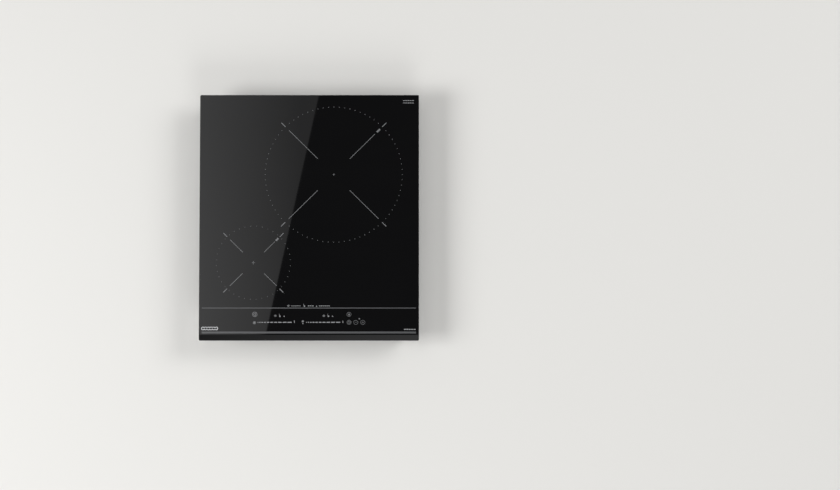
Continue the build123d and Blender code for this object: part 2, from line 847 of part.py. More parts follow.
duct_inside = max(heatsink_width + 2 * duct_gap, fan_tongue - fan_left)
duct_roof = heatsink_top + duct_gap
duct_back = fan_y + fan_outlet - fit_gap
with BuildPart() as air_duct:
    with BuildSketch(Plane.XZ.offset(-heatsink_front)):
        with Locations((heatsink_x, board_top + fit_gap)):
            Rectangle(
                duct_inside + 2 * duct_wall,
                duct_roof + duct_wall - board_top - fit_gap,
                align=(Align.CENTER, Align.MIN),
            )
            Rectangle(
                duct_inside,
                duct_roof - board_top - fit_gap,
                align=(Align.CENTER, Align.MIN),
                mode=Mode.SUBTRACT,
            )
    extrude(amount=heatsink_front - duct_back)
finish(air_duct, "air_duct")


def packages(places):
    """Flat transistor packages under the heatsink, each with three legs down to the board."""
    with Locations(*[(x, y, package_bottom) for x, y in places]):
        Box(package_width, package_length, package_thickness, align=UP)
    for x, y in places:
        with Locations((x, y - package_length / 2 - 1.5, board_top)):
            with GridLocations(5.4, 1, 3, 1):
                Box(1.2, 0.7, package_lift + package_thickness / 2, align=UP)
        with Locations((x, y - package_length / 2 - 0.9, board_top + package_lift + package_thickness / 2)):
            with GridLocations(5.4, 1, 3, 1):
                Box(1.2, 1.9, 0.7, align=UP)


package_pitch = package_length + 8.0
with BuildPart() as power_transistors:
    packages(
        [
            (heatsink_x + side * heatsink_width / 4, heatsink_front + 18.0 + row * package_pitch)
            for side in (-1, 1)
            for row in range(3)
        ]
    )
finish(power_transistors, "power_transistors")

with BuildPart() as bridge_rectifier:
    with Locations((heatsink_x, heatsink_front + heatsink_length - 16.0, package_bottom)):
        Box(28.0, 16.0, package_thickness, align=UP)
    with Locations((heatsink_x, heatsink_front + heatsink_length - 16.0, board_top)):
        with GridLocations(7.5, 1, 4, 1):
            Box(1.4, 1.4, package_lift, align=UP)
finish(bridge_rectifier, "bridge_rectifier")

filter_x = filter_left + filter_width / 2
filter_y = filter_front + filter_depth / 2
with BuildPart() as film_capacitors:
    with Locations((board_left + 103.0, board_front + 100.0, board_top)):
        with GridLocations(capacitor_length + 7.0, capacitor_width + 6.0, 3, 3):
            Box(capacitor_length, capacitor_width, capacitor_height, align=UP)
    with Locations((filter_x + 24.0, filter_y - 4.0, board_top)):
        with GridLocations(1, capacitor_width + 12.0, 1, 2):
            Box(capacitor_length, capacitor_width, capacitor_height, align=UP)
    fillet(film_capacitors.edges().filter_by(Axis.Z), 1.2)
finish(film_capacitors, "film_capacitors")

with BuildPart() as chokes:
    with Locations((board_left + 70.0, board_front + 190.0, board_top)):
        with Locations((0, 0), (choke_radius * 2 + 10.0, 0)):
            Cylinder(choke_radius, choke_height, align=UP)
            Cylinder(choke_bore, choke_height, align=UP, mode=Mode.SUBTRACT)
    fillet(chokes.edges().filter_by(GeomType.CIRCLE), 2.5)
finish(chokes, "chokes")

with BuildPart() as transformer:
    with Locations((board_left + 186.0, board_front + 84.0, board_top)):
        Box(26.0, 24.0, 4.0, align=UP)
        Box(26.0, 10.0, 20.0, align=UP)
        Box(17.0, 22.0, 17.0, align=UP)
finish(transformer, "transformer")

# posts that the coils' and the mains leads are crimped to, and plug-in headers
large_posts = [(board_left + 200.0, board_front + 212.0), (board_left + 200.0, board_front + 190.0)]
small_posts = [(board_left + 122.0, board_front + 40.0), (board_left + 122.0, board_front + 20.0)]
link_posts = [(board_left + 172.0, board_front + board_depth - 12.0)]
link_posts.append((link_posts[0][0] + 24.0, link_posts[0][1]))
ribbon_x = board_left + 160.0
header_y = board_front + 12.0
with BuildPart() as board_connectors:
    with Locations(*[(x, y, board_top) for x, y in large_posts + small_posts + link_posts]):
        Box(9.0, 9.0, 2.0, align=UP)
        Cylinder(3.4, post_height, align=UP)
    with Locations((ribbon_x, header_y, board_top)):
        Box(ribbon_width + 6.0, 8.0, header_height, align=UP)
    with Locations((board_left + 56.0, board_front + board_depth - 12.0, board_top)):
        Box(10.0, 7.0, header_height, align=UP)
    with Locations((board_left + 26.0, board_front + 30.0, board_top)):
        with GridLocations(16.0, 1, 2, 1):
            Box(9.0, 7.0, header_height, align=UP)
finish(board_connectors, "board_connectors")

# ---------------------------------------------------------------- mains filter board
with BuildPart() as filter_board:
    with BuildSketch(Plane.XY.offset(board_bottom)):
        with Locations((filter_x, filter_y)):
            RectangleRounded(filter_width, filter_depth, board_corner)
        with Locations(*filter_points):
            Circle(support_radius / 2 + fit_gap, mode=Mode.SUBTRACT)
    extrude(amount=board_thickness)
finish(filter_board, "filter_board")

with BuildPart() as filter_choke:
    with Locations((filter_x - 20.0, filter_y - 4.0, board_top)):
        Cylinder(filter_choke_radius, filter_choke_height, align=UP)
        Cylinder(choke_bore, filter_choke_height, align=UP, mode=Mode.SUBTRACT)
    fillet(filter_choke.edges().filter_by(GeomType.CIRCLE), 3.0)
finish(filter_choke, "filter_choke")

# ---------------------------------------------------------------- terminal box, block, cover and inlet
bay_left = box_left - inlet_bay
chamber_width = terminal_width - 2 * terminal_wall
chamber_height = terminal_height - 2 * terminal_wall
chamber_bottom = terminal_bottom + terminal_wall
box_x = (box_left + box_right) / 2
block_z = chamber_bottom + 8.0
block_y = box_front + terminal_wall
entry_z = block_z + 4.0
screw_z = block_z + 10.0
screw_y = block_y + block_depth - 3.0
pole_pitch = block_width / block_poles
BACK = (Align.CENTER, Align.MAX, Align.MIN)
with BuildPart() as terminal_box:
    with Locations((box_x, box_back, terminal_bottom)):
        Box(terminal_width, box_back - box_front, terminal_height, align=BACK)
    with Locations(((bay_left + box_left) / 2, inner_y, terminal_bottom)):
        Box(inlet_bay, inner_y - box_front, terminal_height, align=BACK)
    # wiring chamber, open to the back
    chamber_depth = box_back - box_front - terminal_wall
    with Locations((box_x, box_back, chamber_bottom)):
        Box(chamber_width, chamber_depth, chamber_height, align=BACK, mode=Mode.SUBTRACT)
    # inlet bay, joined to the chamber by an opening in the wall between them
    with Locations(((bay_left + box_left + terminal_wall) / 2, inner_y - terminal_wall, chamber_bottom)):
        Box(
            inlet_bay - terminal_wall,
            terminal_depth - 2 * terminal_wall,
            chamber_height,
            align=BACK,
            mode=Mode.SUBTRACT,
        )
    with Locations((box_left + terminal_wall / 2, inner_y - 8.0, chamber_bottom)):
        Box(3 * terminal_wall, 16.0, 18.0, align=BACK, mode=Mode.SUBTRACT)
    with Locations(Plane((inlet_x, inner_y, inlet_height), z_dir=(0, 1, 0))):
        Cylinder(inlet_body + fit_gap, 2 * terminal_wall + 1.0, mode=Mode.SUBTRACT)
    # blind holes for the cover's hinge pins
    with Locations(Plane((box_x, hinge_y, hinge_z), z_dir=(1, 0, 0))):
        pin_hole = chamber_width + 2 * (cover_pin_reach + cover_gap)
        Cylinder(cover_pin + running_gap, pin_hole, mode=Mode.SUBTRACT)
    # wires leave for the filter board through the front wall
    with Locations(Plane((box_x, box_front, entry_z), x_dir=(1, 0, 0), z_dir=(0, -1, 0))):
        with GridLocations(pole_pitch, 1, block_poles, 1):
            Cylinder(2.0, 3 * terminal_wall, mode=Mode.SUBTRACT)
finish(terminal_box, "terminal_box")

with BuildPart() as terminal_block:
    with Locations((box_x, block_y, block_z)):
        Box(block_width, block_depth, block_height, align=(Align.CENTER, Align.MIN, Align.MIN))
    # each pole has a wire hole from below and a screw hole from the back
    with Locations(Plane((box_x, block_y + block_depth, screw_z), x_dir=(1, 0, 0), z_dir=(0, 1, 0))):
        with GridLocations(pole_pitch, 1, block_poles, 1):
            CounterBoreHole(2.0 + thread_gap, 3.6, 3.0, block_depth - 3.0)
    with Locations(Plane((box_x, block_y + block_depth, entry_z), x_dir=(1, 0, 0), z_dir=(0, 1, 0))):
        with GridLocations(pole_pitch, 1, block_poles, 1):
            Hole(1.8)
finish(terminal_block, "terminal_block")

with BuildPart() as terminal_screws:
    with Locations(Plane((box_x, screw_y, screw_z), x_dir=(1, 0, 0), z_dir=(0, 1, 0))):
        with GridLocations(pole_pitch, 1, block_poles, 1):
            add(pan_screw(2.0, 7.0, 3.4, 2.2))
finish(terminal_screws, "terminal_screws")

cover_width = chamber_width - 2 * cover_gap
cover_top = chamber_bottom + chamber_height - cover_gap
with BuildPart() as terminal_cover:
    with Locations((box_x, hinge_y, hinge_z)):
        Box(cover_width, cover_thickness, cover_top - hinge_z, align=UP)
    with Locations(Plane((box_x, hinge_y, hinge_z), z_dir=(1, 0, 0))):
        Cylinder(cover_barrel, cover_width)
        Cylinder(cover_pin, chamber_width + 2 * cover_pin_reach)
    # finger tab at the top and three ribs on the outside
    with Locations((box_x, hinge_y + cover_thickness / 2, cover_top - 1.6)):
        Box(16.0, 1.2, 1.6, align=(Align.CENTER, Align.MIN, Align.MIN))
    with Locations((box_x, hinge_y + cover_thickness / 2, (hinge_z + cover_top) / 2)):
        with GridLocations(20.0, 1, 3, 1):
            Box(1.6, 0.8, (cover_top - hinge_z) * 0.55, align=(Align.CENTER, Align.MIN, Align.CENTER))
finish(terminal_cover, "terminal_cover")

with BuildPart() as cable_inlet:
    with Locations(Plane((inlet_x, case_y, inlet_height), z_dir=(0, 1, 0))):
        Cylinder(inlet_flange, inlet_flange_thickness, align=UP)
        Cylinder(inlet_body, inlet_depth, align=DOWN)
    fillet(cable_inlet.faces().sort_by(Axis.Y)[-1].edges(), 0.8)
    with Locations(Plane((inlet_x, case_y, inlet_height), z_dir=(0, 1, 0))):
        Cylinder(inlet_bore, 4 * inlet_depth, mode=Mode.SUBTRACT)
finish(cable_inlet, "cable_inlet")

# ---------------------------------------------------------------- touch controls under the glass
ribbon_slot_y = control_y + 8.0
with BuildPart() as control_carrier:
    with BuildSketch(Plane.XY.offset(control_bottom)):
        with Locations((0, control_y)):
            RectangleRounded(control_width, control_depth, 3.0)
    extrude(amount=control_height)
    with BuildSketch(Plane.XY.offset(control_bottom + control_floor)):
        with Locations((0, control_y)):
            RectangleRounded(control_width - 2 * control_wall, control_depth - 2 * control_wall, 1.5)
    extrude(amount=control_height, mode=Mode.SUBTRACT)
    # bosses that hold the board up, and a slot for the ribbon
    with BuildSketch(Plane.XY.offset(control_bottom + control_floor)):
        with Locations((0, control_y)):
            with GridLocations(control_width - 16.0, control_depth - 12.0, 2, 2):
                Circle(3.0)
    extrude(amount=control_board_lift)
    with BuildSketch(Plane.XY.offset(control_bottom)):
        with Locations((ribbon_x, ribbon_slot_y)):
            Rectangle(ribbon_width + 4.0, 8.0)
    extrude(amount=control_floor, mode=Mode.SUBTRACT)
finish(control_carrier, "control_carrier")

control_inside = 2 * (control_wall + fit_gap)
with BuildPart() as control_board:
    with BuildSketch(Plane.XY.offset(control_board_bottom)):
        with Locations((0, control_y)):
            RectangleRounded(control_width - control_inside, control_depth - control_inside, 1.5)
    extrude(amount=board_thickness)
finish(control_board, "control_board")

# one conductive foam pad behind each key, and one strip behind each slider
key_places = [
    (slider_middle + zone * slider_pitch + key * key_pitch + 8.5, key_row)
    for zone in range(2)
    for key in (-1, 0, 1)
]
key_places += [(-110.0, key_row), (-110.0, slider_row)]
key_places += [(83.0, key_row), (83.0, slider_row), (97.0, slider_row), (111.4, slider_row)]
pad_height = control_top - control_board_top
with BuildPart() as touch_pads:
    with BuildSketch(Plane.XY.offset(control_board_top)):
        with Locations(*[(x, control_y + y) for x, y in key_places]):
            Circle(key_radius)
        with Locations(*[(slider_middle + zone * slider_pitch, control_y + slider_row) for zone in range(2)]):
            SlotOverall(slider_length, slider_width)
    extrude(amount=pad_height)
finish(touch_pads, "touch_pads")

display_height = pad_height - 0.4
with BuildPart() as displays:
    with Locations(*[(x, control_y + 10.0, control_board_top) for x in (-90.0, 8.0, 104.0)]):
        Box(13.0, 17.0, display_height, align=UP)
finish(displays, "displays")

# posts on the casing's floor, with springs that press the carrier up to the glass
post_top = control_bottom - control_spring_height
control_posts_at = [
    (x, control_y + y)
    for x in (-control_width / 2 + control_post_inset, control_width / 2 - control_post_inset)
    for y in (-control_post_spread / 2, control_post_spread / 2)
]
with BuildPart() as control_posts:
    with Locations(*[(x, y, sheet) for x, y in control_posts_at]):
        Cylinder(control_post_radius + 2.0, 2.0, align=UP)
        Cylinder(control_post_radius, post_top - sheet, align=UP)
        Cylinder(1.5, post_top - sheet + 5.0, align=UP)
finish(control_posts, "control_posts")

with BuildPart() as control_springs:
    for seat_x, seat_y in control_posts_at:
        spring((seat_x, seat_y, post_top), control_spring_height, 3.0, 0.8)
finish(control_springs, "control_springs")

# ---------------------------------------------------------------- wiring
ribbon_middle = control_bottom - 12.0
with BuildPart() as ribbon_cable:
    with BuildLine(Plane.YZ.offset(ribbon_x)) as ribbon_path:
        ribbon_route = FilletPolyline(
            (ribbon_slot_y, control_board_bottom - thread_gap),
            (ribbon_slot_y, ribbon_middle),
            (header_y, ribbon_middle - 9.0),
            (header_y, board_top + header_height),
            radius=4.0,
        )
    with BuildSketch(Plane(origin=ribbon_route @ 0, x_dir=(1, 0, 0), z_dir=ribbon_route % 0)):
        Rectangle(ribbon_width, 1.0)
    sweep(path=ribbon_path.line)
finish(ribbon_cable, "ribbon_cable")

# two flexible leads from each coil, down through the shelf to their posts on the power board
run_z = plate_bottom - lead_drop
with BuildPart() as coil_leads:
    for exit_point, posts in ((large_exit, large_posts), (small_exit, small_posts)):
        for shift, (post_x, post_y) in zip((3.5, -3.5), posts):
            lead(
                [
                    (exit_point[0], exit_point[1] + shift, shield_bottom),
                    (exit_point[0], exit_point[1] + shift, run_z),
                    (post_x, post_y, run_z - lead_fall),
                    (post_x, post_y, board_top + post_height),
                ],
                lead_diameter,
            )
finish(coil_leads, "coil_leads")

# mains wires to the filter board, on to the power board, and the earth wire to its stud on the casing
poles = [box_x + pole_pitch * (i - (block_poles - 1) / 2) for i in range(block_poles)]
filter_back = filter_front + filter_depth - 6.0
stud_x = bay_left - 14.0
stud_y = block_y + 8.0
link_z = run_z - lead_fall - lead_diameter / 2 - wire_diameter / 2 - lead_gap
with BuildPart() as mains_leads:
    for pole in (poles[1], poles[3]):
        lead(
            [
                (pole, block_y, entry_z),
                (pole, filter_back, entry_z),
                (pole, filter_back, board_top),
            ],
            wire_diameter,
        )
    for start_x, (post_x, post_y) in zip((filter_left + 16.0, filter_left + 26.0), link_posts):
        lead(
            [
                (start_x, filter_front + 8.0, board_top),
                (start_x, filter_front + 8.0, link_z),
                (post_x, post_y, link_z),
                (post_x, post_y, board_top + post_height),
            ],
            wire_diameter,
        )
    lead(
        [
            (poles[0], block_y, entry_z),
            (poles[0], box_front - 7.0, entry_z),
            (stud_x, box_front - 9.0, entry_z - 2.0),
            (stud_x, stud_y, sheet + 13.0),
            (stud_x, stud_y, sheet + 5.0),
        ],
        wire_diameter,
    )
    with Locations((stud_x, stud_y, sheet)):
        Cylinder(4.5, 5.0, align=UP)
finish(mains_leads, "mains_leads")
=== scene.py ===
"""Looks of a built-in induction cooktop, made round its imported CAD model.

Everything is in metres in the model's own frame: +Z up, the front edge towards -Y, the casing's
underside at z = 0.
"""

import logging
from dataclasses import dataclass, field
from enum import Enum
from functools import cache
from math import cos, pi, radians, sin

import bmesh
import bpy
import numpy as np
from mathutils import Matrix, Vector


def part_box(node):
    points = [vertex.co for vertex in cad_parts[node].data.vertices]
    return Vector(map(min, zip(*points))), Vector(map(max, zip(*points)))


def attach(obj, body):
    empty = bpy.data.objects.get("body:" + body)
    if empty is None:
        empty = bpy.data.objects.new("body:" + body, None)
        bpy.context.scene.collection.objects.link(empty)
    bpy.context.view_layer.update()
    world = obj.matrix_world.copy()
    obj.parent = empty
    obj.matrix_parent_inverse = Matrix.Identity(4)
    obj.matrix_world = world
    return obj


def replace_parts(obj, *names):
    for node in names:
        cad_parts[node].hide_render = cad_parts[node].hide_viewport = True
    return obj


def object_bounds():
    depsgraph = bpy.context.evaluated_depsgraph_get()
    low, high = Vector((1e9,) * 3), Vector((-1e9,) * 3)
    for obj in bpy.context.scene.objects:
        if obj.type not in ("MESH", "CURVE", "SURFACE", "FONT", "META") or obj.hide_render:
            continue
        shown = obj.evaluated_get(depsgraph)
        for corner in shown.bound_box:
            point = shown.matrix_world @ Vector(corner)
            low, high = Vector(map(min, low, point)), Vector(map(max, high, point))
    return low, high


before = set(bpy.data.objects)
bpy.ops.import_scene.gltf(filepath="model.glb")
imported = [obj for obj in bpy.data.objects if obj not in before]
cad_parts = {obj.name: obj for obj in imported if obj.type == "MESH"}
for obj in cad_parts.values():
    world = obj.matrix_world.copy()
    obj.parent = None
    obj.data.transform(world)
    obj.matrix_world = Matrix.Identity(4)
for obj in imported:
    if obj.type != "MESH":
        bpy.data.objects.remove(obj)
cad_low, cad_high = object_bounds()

log = logging.getLogger("cooktop")
MM = 0.001
WAVE_PERIOD = 0.314  # spacing of a wave texture's bands at a scale of 1

Points = np.ndarray
Faces = list[list[int]]
Pair = tuple[float, float]
Triple = tuple[float, float, float]
Colour = tuple[float, float, float, float]
Object = bpy.types.Object
Tree = bpy.types.NodeTree
Socket = bpy.types.NodeSocket
MaskAndHeight = tuple[Socket, Socket]


# ---------------------------------------------------------------- meshes
def add_object(name: str, vertices: Points, faces: Faces, body: str, smooth: float = 35.0) -> Object:
    """Makes a closed mesh piece that rides on a CAD body.

    Args:
        name: the piece's name.
        vertices: points in the row frame, one row each.
        faces: lists of vertex indices.
        body: the CAD body that it rides on.
        smooth: edges that turn by more than this many degrees stay sharp.

    Returns:
        The new object, with its faces pointing outwards.
    """
    mesh = bpy.data.meshes.new(name)
    mesh.from_pydata(vertices.tolist(), [], faces)
    work = bmesh.new()
    work.from_mesh(mesh)
    bmesh.ops.recalc_face_normals(work, faces=work.faces)
    work.to_mesh(mesh)
    work.free()
    mesh.shade_smooth()
    mesh.set_sharp_from_angle(angle=radians(smooth))
    piece = bpy.data.objects.new(name, mesh)
    bpy.context.scene.collection.objects.link(piece)
    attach(piece, body)
    return piece


def grid_faces(rows: int, columns: int, loop_rows: bool = False, loop_columns: bool = True) -> Faces:
    """Quads of a grid of points stored row by row: (i, j), (i, j+1), (i+1, j+1), (i+1, j).

    Args:
        rows: number of rows.
        columns: number of points in a row.
        loop_rows: the last row joins the first.
        loop_columns: the last point of a row joins its first.

    Returns:
        The quads as lists of indices.
    """
    i, j = np.meshgrid(
        np.arange(rows if loop_rows else rows - 1),
        np.arange(columns if loop_columns else columns - 1),
        indexing="ij",
    )
    below, right = (i + 1) % rows, (j + 1) % columns
    quads = np.stack([i * columns + j, i * columns + right, below * columns + right, below * columns + j], -1)
    return quads.reshape(-1, 4).tolist()


def carried_profile(path: Points, side: Points, up: Points, profile: Points) -> Points:
    """A profile carried along a path: point = path + profile_x * side + profile_y * up.

    Args:
        path: the path's points.
        side: for each path point, the direction of the profile's x.
        up: for each path point, the direction of the profile's y.
        profile: the profile's points, x and y.

    Returns:
        All points, row by row along the path.
    """
    grid = path[:, None, :] + profile[None, :, :1] * side[:, None, :] + profile[None, :, 1:] * up[:, None, :]
    return grid.reshape(-1, 3)


def ellipse(half_width: float, half_height: float, sides: int) -> Points:
    """A closed ellipse: (a cos t, b sin t).

    Args:
        half_width: a, half of its width.
        half_height: b, half of its height.
        sides: how many points it has.

    Returns:
        Its points, x and y.
    """
    turn = np.arange(sides) * 2 * pi / sides
    return np.column_stack([half_width * np.cos(turn), half_height * np.sin(turn)])


def rounded_loop(
    half_x: float, half_y: float, radius: float, steps: int = 10, rows: Points | None = None
) -> Points:
    """A rectangle with round corners, counter-clockwise from its right side.

    Each corner is a quarter circle of steps + 1 points about a centre that stands radius in from both
    sides. The straight left and right sides also have a point at each height in rows.

    Args:
        half_x: half of its width.
        half_y: half of its depth.
        radius: corner radius.
        steps: segments in each corner.
        rows: increasing heights of extra points on the left and right sides.

    Returns:
        The loop's points, x and y.
    """
    extra = np.array([]) if rows is None else np.asarray(rows, float)
    turn = np.linspace(0, pi / 2, steps + 1)
    loops = [np.column_stack([np.full(len(extra), half_x), extra])]
    for quarter, (sx, sy) in enumerate(((1, 1), (-1, 1), (-1, -1), (1, -1))):
        centre = np.array([sx * (half_x - radius), sy * (half_y - radius)])
        angle = turn + quarter * pi / 2
        loops.append(centre + radius * np.column_stack([np.cos(angle), np.sin(angle)]))
        if quarter == 1:
            loops.append(np.column_stack([np.full(len(extra), -half_x), extra[::-1]]))
    return np.vstack(loops)


# ---------------------------------------------------------------- materials
def linear(code: str) -> Colour:
    """Turns an sRGB hex code to linear light by the standard's curve: a short straight part, then a power.

    Args:
        code: "#" and six hex digits.

    Returns:
        Linear red, green and blue, and 1.
    """
    values = [int(code[i:i + 2], 16) / 255 for i in (1, 3, 5)]
    return (*[v / 12.92 if v <= 0.04045 else ((v + 0.055) / 1.055) ** 2.4 for v in values], 1.0)


def add_node(
    tree: Tree, kind: str, settings: dict | None = None, links: dict | None = None
) -> bpy.types.ShaderNode:
    """Adds a shader node.

    Args:
        tree: the node tree.
        kind: the node's type, without the ShaderNode prefix.
        settings: attribute names, or input names or numbers, to values.
        links: input names or numbers to the output sockets that feed them.

    Returns:
        The node.
    """
    node = tree.nodes.new("ShaderNode" + kind)
    for key, value in (settings or {}).items():
        if isinstance(key, str) and hasattr(node, key):
            setattr(node, key, value)
        else:
            node.inputs[key].default_value = value
    for key, socket in (links or {}).items():
        tree.links.new(socket, node.inputs[key])
    return node


class Pattern(Enum):
    """What the surface of a finish shows close up."""

    MOULDED = "fine spark-eroded grain"
    GRAIN = "even fine grain"
    SPANGLE = "zinc crystals"
    ROLLED = "lines along Y from rolling or extrusion"
    FOAM = "open cells"
    FLAKES = "pressed mica flakes"
    TRACKS = "copper tracks under solder mask"
    STRANDS = "twisted strands, on the piece's own UV map"
    RIBBON = "parallel cores across X"
    SMEAR = "faint haze left by wiping"


@dataclass(frozen=True)
class Finish:
    """A material: what it is, its colours, its gloss and its surface pattern.

    scale_mm is the real spacing of the pattern, and depth_mm is how deep its relief is.
    """

    name: str
    slot: str
    base: str
    second: str
    pattern: Pattern
    scale_mm: float
    depth_mm: float = 0.0
    metallic: float = 0.0
    roughness: float = 0.5
    roughness_swing: float = 0.08
    ior: float = 1.5
    coat: float = 0.0

    @cache
    def build(self) -> bpy.types.Material:
        """Makes the finish as a node material, once.

        Returns:
            The material: the pattern's mask mixes the two colours and drives the roughness.
        """
        material = bpy.data.materials.new(self.name + "_finish")
        material.use_nodes = True
        tree = material.node_tree
        tree.nodes.clear()
        place = add_node(tree, "TexCoord").outputs["Object"]
        mask, height = getattr(self, "_" + self.pattern.name.lower())(tree, place)
        colour = add_node(
            tree,
            "Mix",
            {"data_type": "RGBA", 6: linear(self.base), 7: linear(self.second)},
            {0: mask},
        )
        rough = add_node(
            tree,
            "MapRange",
            {"To Min": self.roughness, "To Max": min(self.roughness + self.roughness_swing, 1.0)},
            {"Value": mask},
        )
        shader = add_node(
            tree,
            "BsdfPrincipled",
            {"Metallic": self.metallic, "IOR": self.ior, "Coat Weight": self.coat, "Coat Roughness": 0.08},
            {"Base Color": colour.outputs[2], "Roughness": rough.outputs[0]},
        )
        if self.depth_mm:
            bump = add_node(
                tree,
                "Bump",
                {"Strength": 0.6, "Distance": self.depth_mm * MM},
                {"Height": height},
            )
            tree.links.new(bump.outputs[0], shader.inputs["Normal"])
        output = add_node(tree, "OutputMaterial", None, {"Surface": shader.outputs[0]})
        output.is_active_output = True
        material.diffuse_color = linear(self.base)
        return material

    @staticmethod
    def _noise(
        tree: Tree, place: Socket, spacing_mm: float, detail: float = 2.0, stretch: Triple = (1, 1, 1)
    ) -> Socket:
        """Adds noise.

        Args:
            tree: the material's node tree.
            place: the point's position.
            spacing_mm: how far apart its lumps are.
            detail: how many octaves it has.
            stretch: scale of X, Y and Z; a share below 1 stretches the lumps along that axis.

        Returns:
            Its value.
        """
        scaled = add_node(tree, "Mapping", {"Scale": stretch}, {"Vector": place})
        return add_node(
            tree,
            "TexNoise",
            {"Scale": 1 / (spacing_mm * MM), "Detail": detail, "Roughness": 0.55},
            {"Vector": scaled.outputs[0]},
        ).outputs[0]

    def _moulded(self, tree: Tree, place: Socket) -> MaskAndHeight:
        """Grain of scale_mm, with slow colour drift thirty times as wide.

        Args:
            tree: the material's node tree.
            place: the point's position.

        Returns:
            The colour mask and the relief's height.
        """
        fine = self._noise(tree, place, self.scale_mm)
        drift = self._noise(tree, place, 30 * self.scale_mm)
        mask = add_node(tree, "Math", {"operation": "MULTIPLY"}, {0: fine, 1: drift}).outputs[0]
        return mask, fine

    def _grain(self, tree: Tree, place: Socket) -> MaskAndHeight:
        """Fine even grain, four octaves of noise.

        Args:
            tree: the material's node tree.
            place: the point's position.

        Returns:
            The colour mask and the relief's height.
        """
        fine = self._noise(tree, place, self.scale_mm, 4.0)
        return fine, fine

    def _spangle(self, tree: Tree, place: Socket) -> MaskAndHeight:
        """Zinc crystals: each Voronoi cell has its own shade, with a fine grain inside it.

        Args:
            tree: the material's node tree.
            place: the point's position.

        Returns:
            The colour mask and the relief's height.
        """
        cells = add_node(
            tree,
            "TexVoronoi",
            {"Scale": 1 / (self.scale_mm * MM), "Randomness": 1.0},
            {"Vector": place},
        )
        shade = add_node(tree, "SeparateColor", None, {0: cells.outputs["Color"]}).outputs[0]
        fine = self._noise(tree, place, self.scale_mm / 12)
        mask = add_node(
            tree,
            "Mix",
            {"data_type": "FLOAT", 0: 0.35},
            {2: shade, 3: fine},
        ).outputs[0]
        return mask, mask

    def _rolled(self, tree: Tree, place: Socket) -> MaskAndHeight:
        """Lines along Y: noise stretched sixty times.

        Args:
            tree: the material's node tree.
            place: the point's position.

        Returns:
            The colour mask and the relief's height.
        """
        lines = self._noise(tree, place, self.scale_mm, 3.0, (1, 1 / 60, 1))
        return lines, lines

    def _foam(self, tree: Tree, place: Socket) -> MaskAndHeight:
        """Open cells: distance to the nearest Voronoi point.

        Args:
            tree: the material's node tree.
            place: the point's position.

        Returns:
            The colour mask and the relief's height.
        """
        cells = add_node(tree, "TexVoronoi", {"Scale": 1 / (self.scale_mm * MM)}, {"Vector": place})
        return cells.outputs["Distance"], cells.outputs["Distance"]

    def _flakes(self, tree: Tree, place: Socket) -> MaskAndHeight:
        """Flat flakes: Voronoi cells, each with its own brightness, over cloudy noise.

        Args:
            tree: the material's node tree.
            place: the point's position.

        Returns:
            The colour mask and the relief's height.
        """
        cells = add_node(tree, "TexVoronoi", {"Scale": 1 / (self.scale_mm * MM)}, {"Vector": place})
        shade = add_node(tree, "SeparateColor", None, {0: cells.outputs["Color"]}).outputs[1]
        cloud = self._noise(tree, place, 8 * self.scale_mm)
        mask = add_node(tree, "Math", {"operation": "MULTIPLY"}, {0: shade, 1: cloud}).outputs[0]
        return mask, shade

    def _tracks(self, tree: Tree, place: Socket) -> MaskAndHeight:
        """Copper tracks: rows of long cells with a thin line between them, every third row squashed.

        Args:
            tree: the material's node tree.
            place: the point's position.

        Returns:
            The colour mask and the relief's height.
        """
        grid = add_node(
            tree,
            "TexBrick",
            {
                "Scale": 1.0,
                "Brick Width": 6 * self.scale_mm * MM,
                "Row Height": self.scale_mm * MM,
                "Mortar Size": 0.16 * self.scale_mm * MM,
                "offset": 0.37,
                "squash": 0.55,
                "squash_frequency": 3,
                "Color1": (0.0, 0.0, 0.0, 1),
                "Color2": (1.0, 1.0, 1.0, 1),
                "Mortar": (0.0, 0.0, 0.0, 1),
            },
            {"Vector": place},
        )
        return grid.outputs["Fac"], grid.outputs["Fac"]

    def _strands(self, tree: Tree, _place: Socket) -> MaskAndHeight:
        """Twisted strands: bands that cross the piece's UV map at a slant, scale_mm apart.

        Args:
            tree: the material's node tree.
            _place: the point's position, which this pattern doesn't need.

        Returns:
            The colour mask and the relief's height.
        """
        along = add_node(tree, "UVMap", {"uv_map": "along"}).outputs[0]
        turned = add_node(tree, "Mapping", {"Rotation": (0, 0, radians(38))}, {"Vector": along})
        bands = add_node(
            tree,
            "TexWave",
            {"wave_type": "BANDS", "bands_direction": "X", "wave_profile": "SIN",
             "Scale": self._bands_per_metre(), "Distortion": 0.4, "Detail": 1.0},
            {"Vector": turned.outputs[0]},
        ).outputs["Fac"]
        return bands, bands

    def _bands_per_metre(self) -> float:
        """The wave texture's scale that puts its bands scale_mm apart."""
        return WAVE_PERIOD / (self.scale_mm * MM)

    def _ribbon(self, tree: Tree, place: Socket) -> MaskAndHeight:
        """Cores of a flat cable: bands across X, scale_mm apart.

        Args:
            tree: the material's node tree.
            place: the point's position.

        Returns:
            The colour mask and the relief's height.
        """
        bands = add_node(
            tree,
            "TexWave",
            {"wave_type": "BANDS", "bands_direction": "X", "Scale": self._bands_per_metre()},
            {"Vector": place},
        ).outputs["Fac"]
        return bands, bands

    def _smear(self, tree: Tree, place: Socket) -> MaskAndHeight:
        """Slow clouds three times longer across than along, as a wiping cloth leaves them.

        Args:
            tree: the material's node tree.
            place: the point's position.

        Returns:
            The colour mask and the relief's height.
        """
        cloud = self._noise(tree, place, self.scale_mm, 3.0, (0.3, 1, 1))
        return cloud, cloud


# Black glass-ceramic, float-polished: a deep black mirror with the faintest haze from wiping.
BLACK_GLASS = Finish("black_glass_ceramic", "black_glass_ceramic", "#070708", "#0a0a0b", Pattern.SMEAR, 60.0,
                     roughness=0.008, roughness_swing=0.008, ior=1.53)
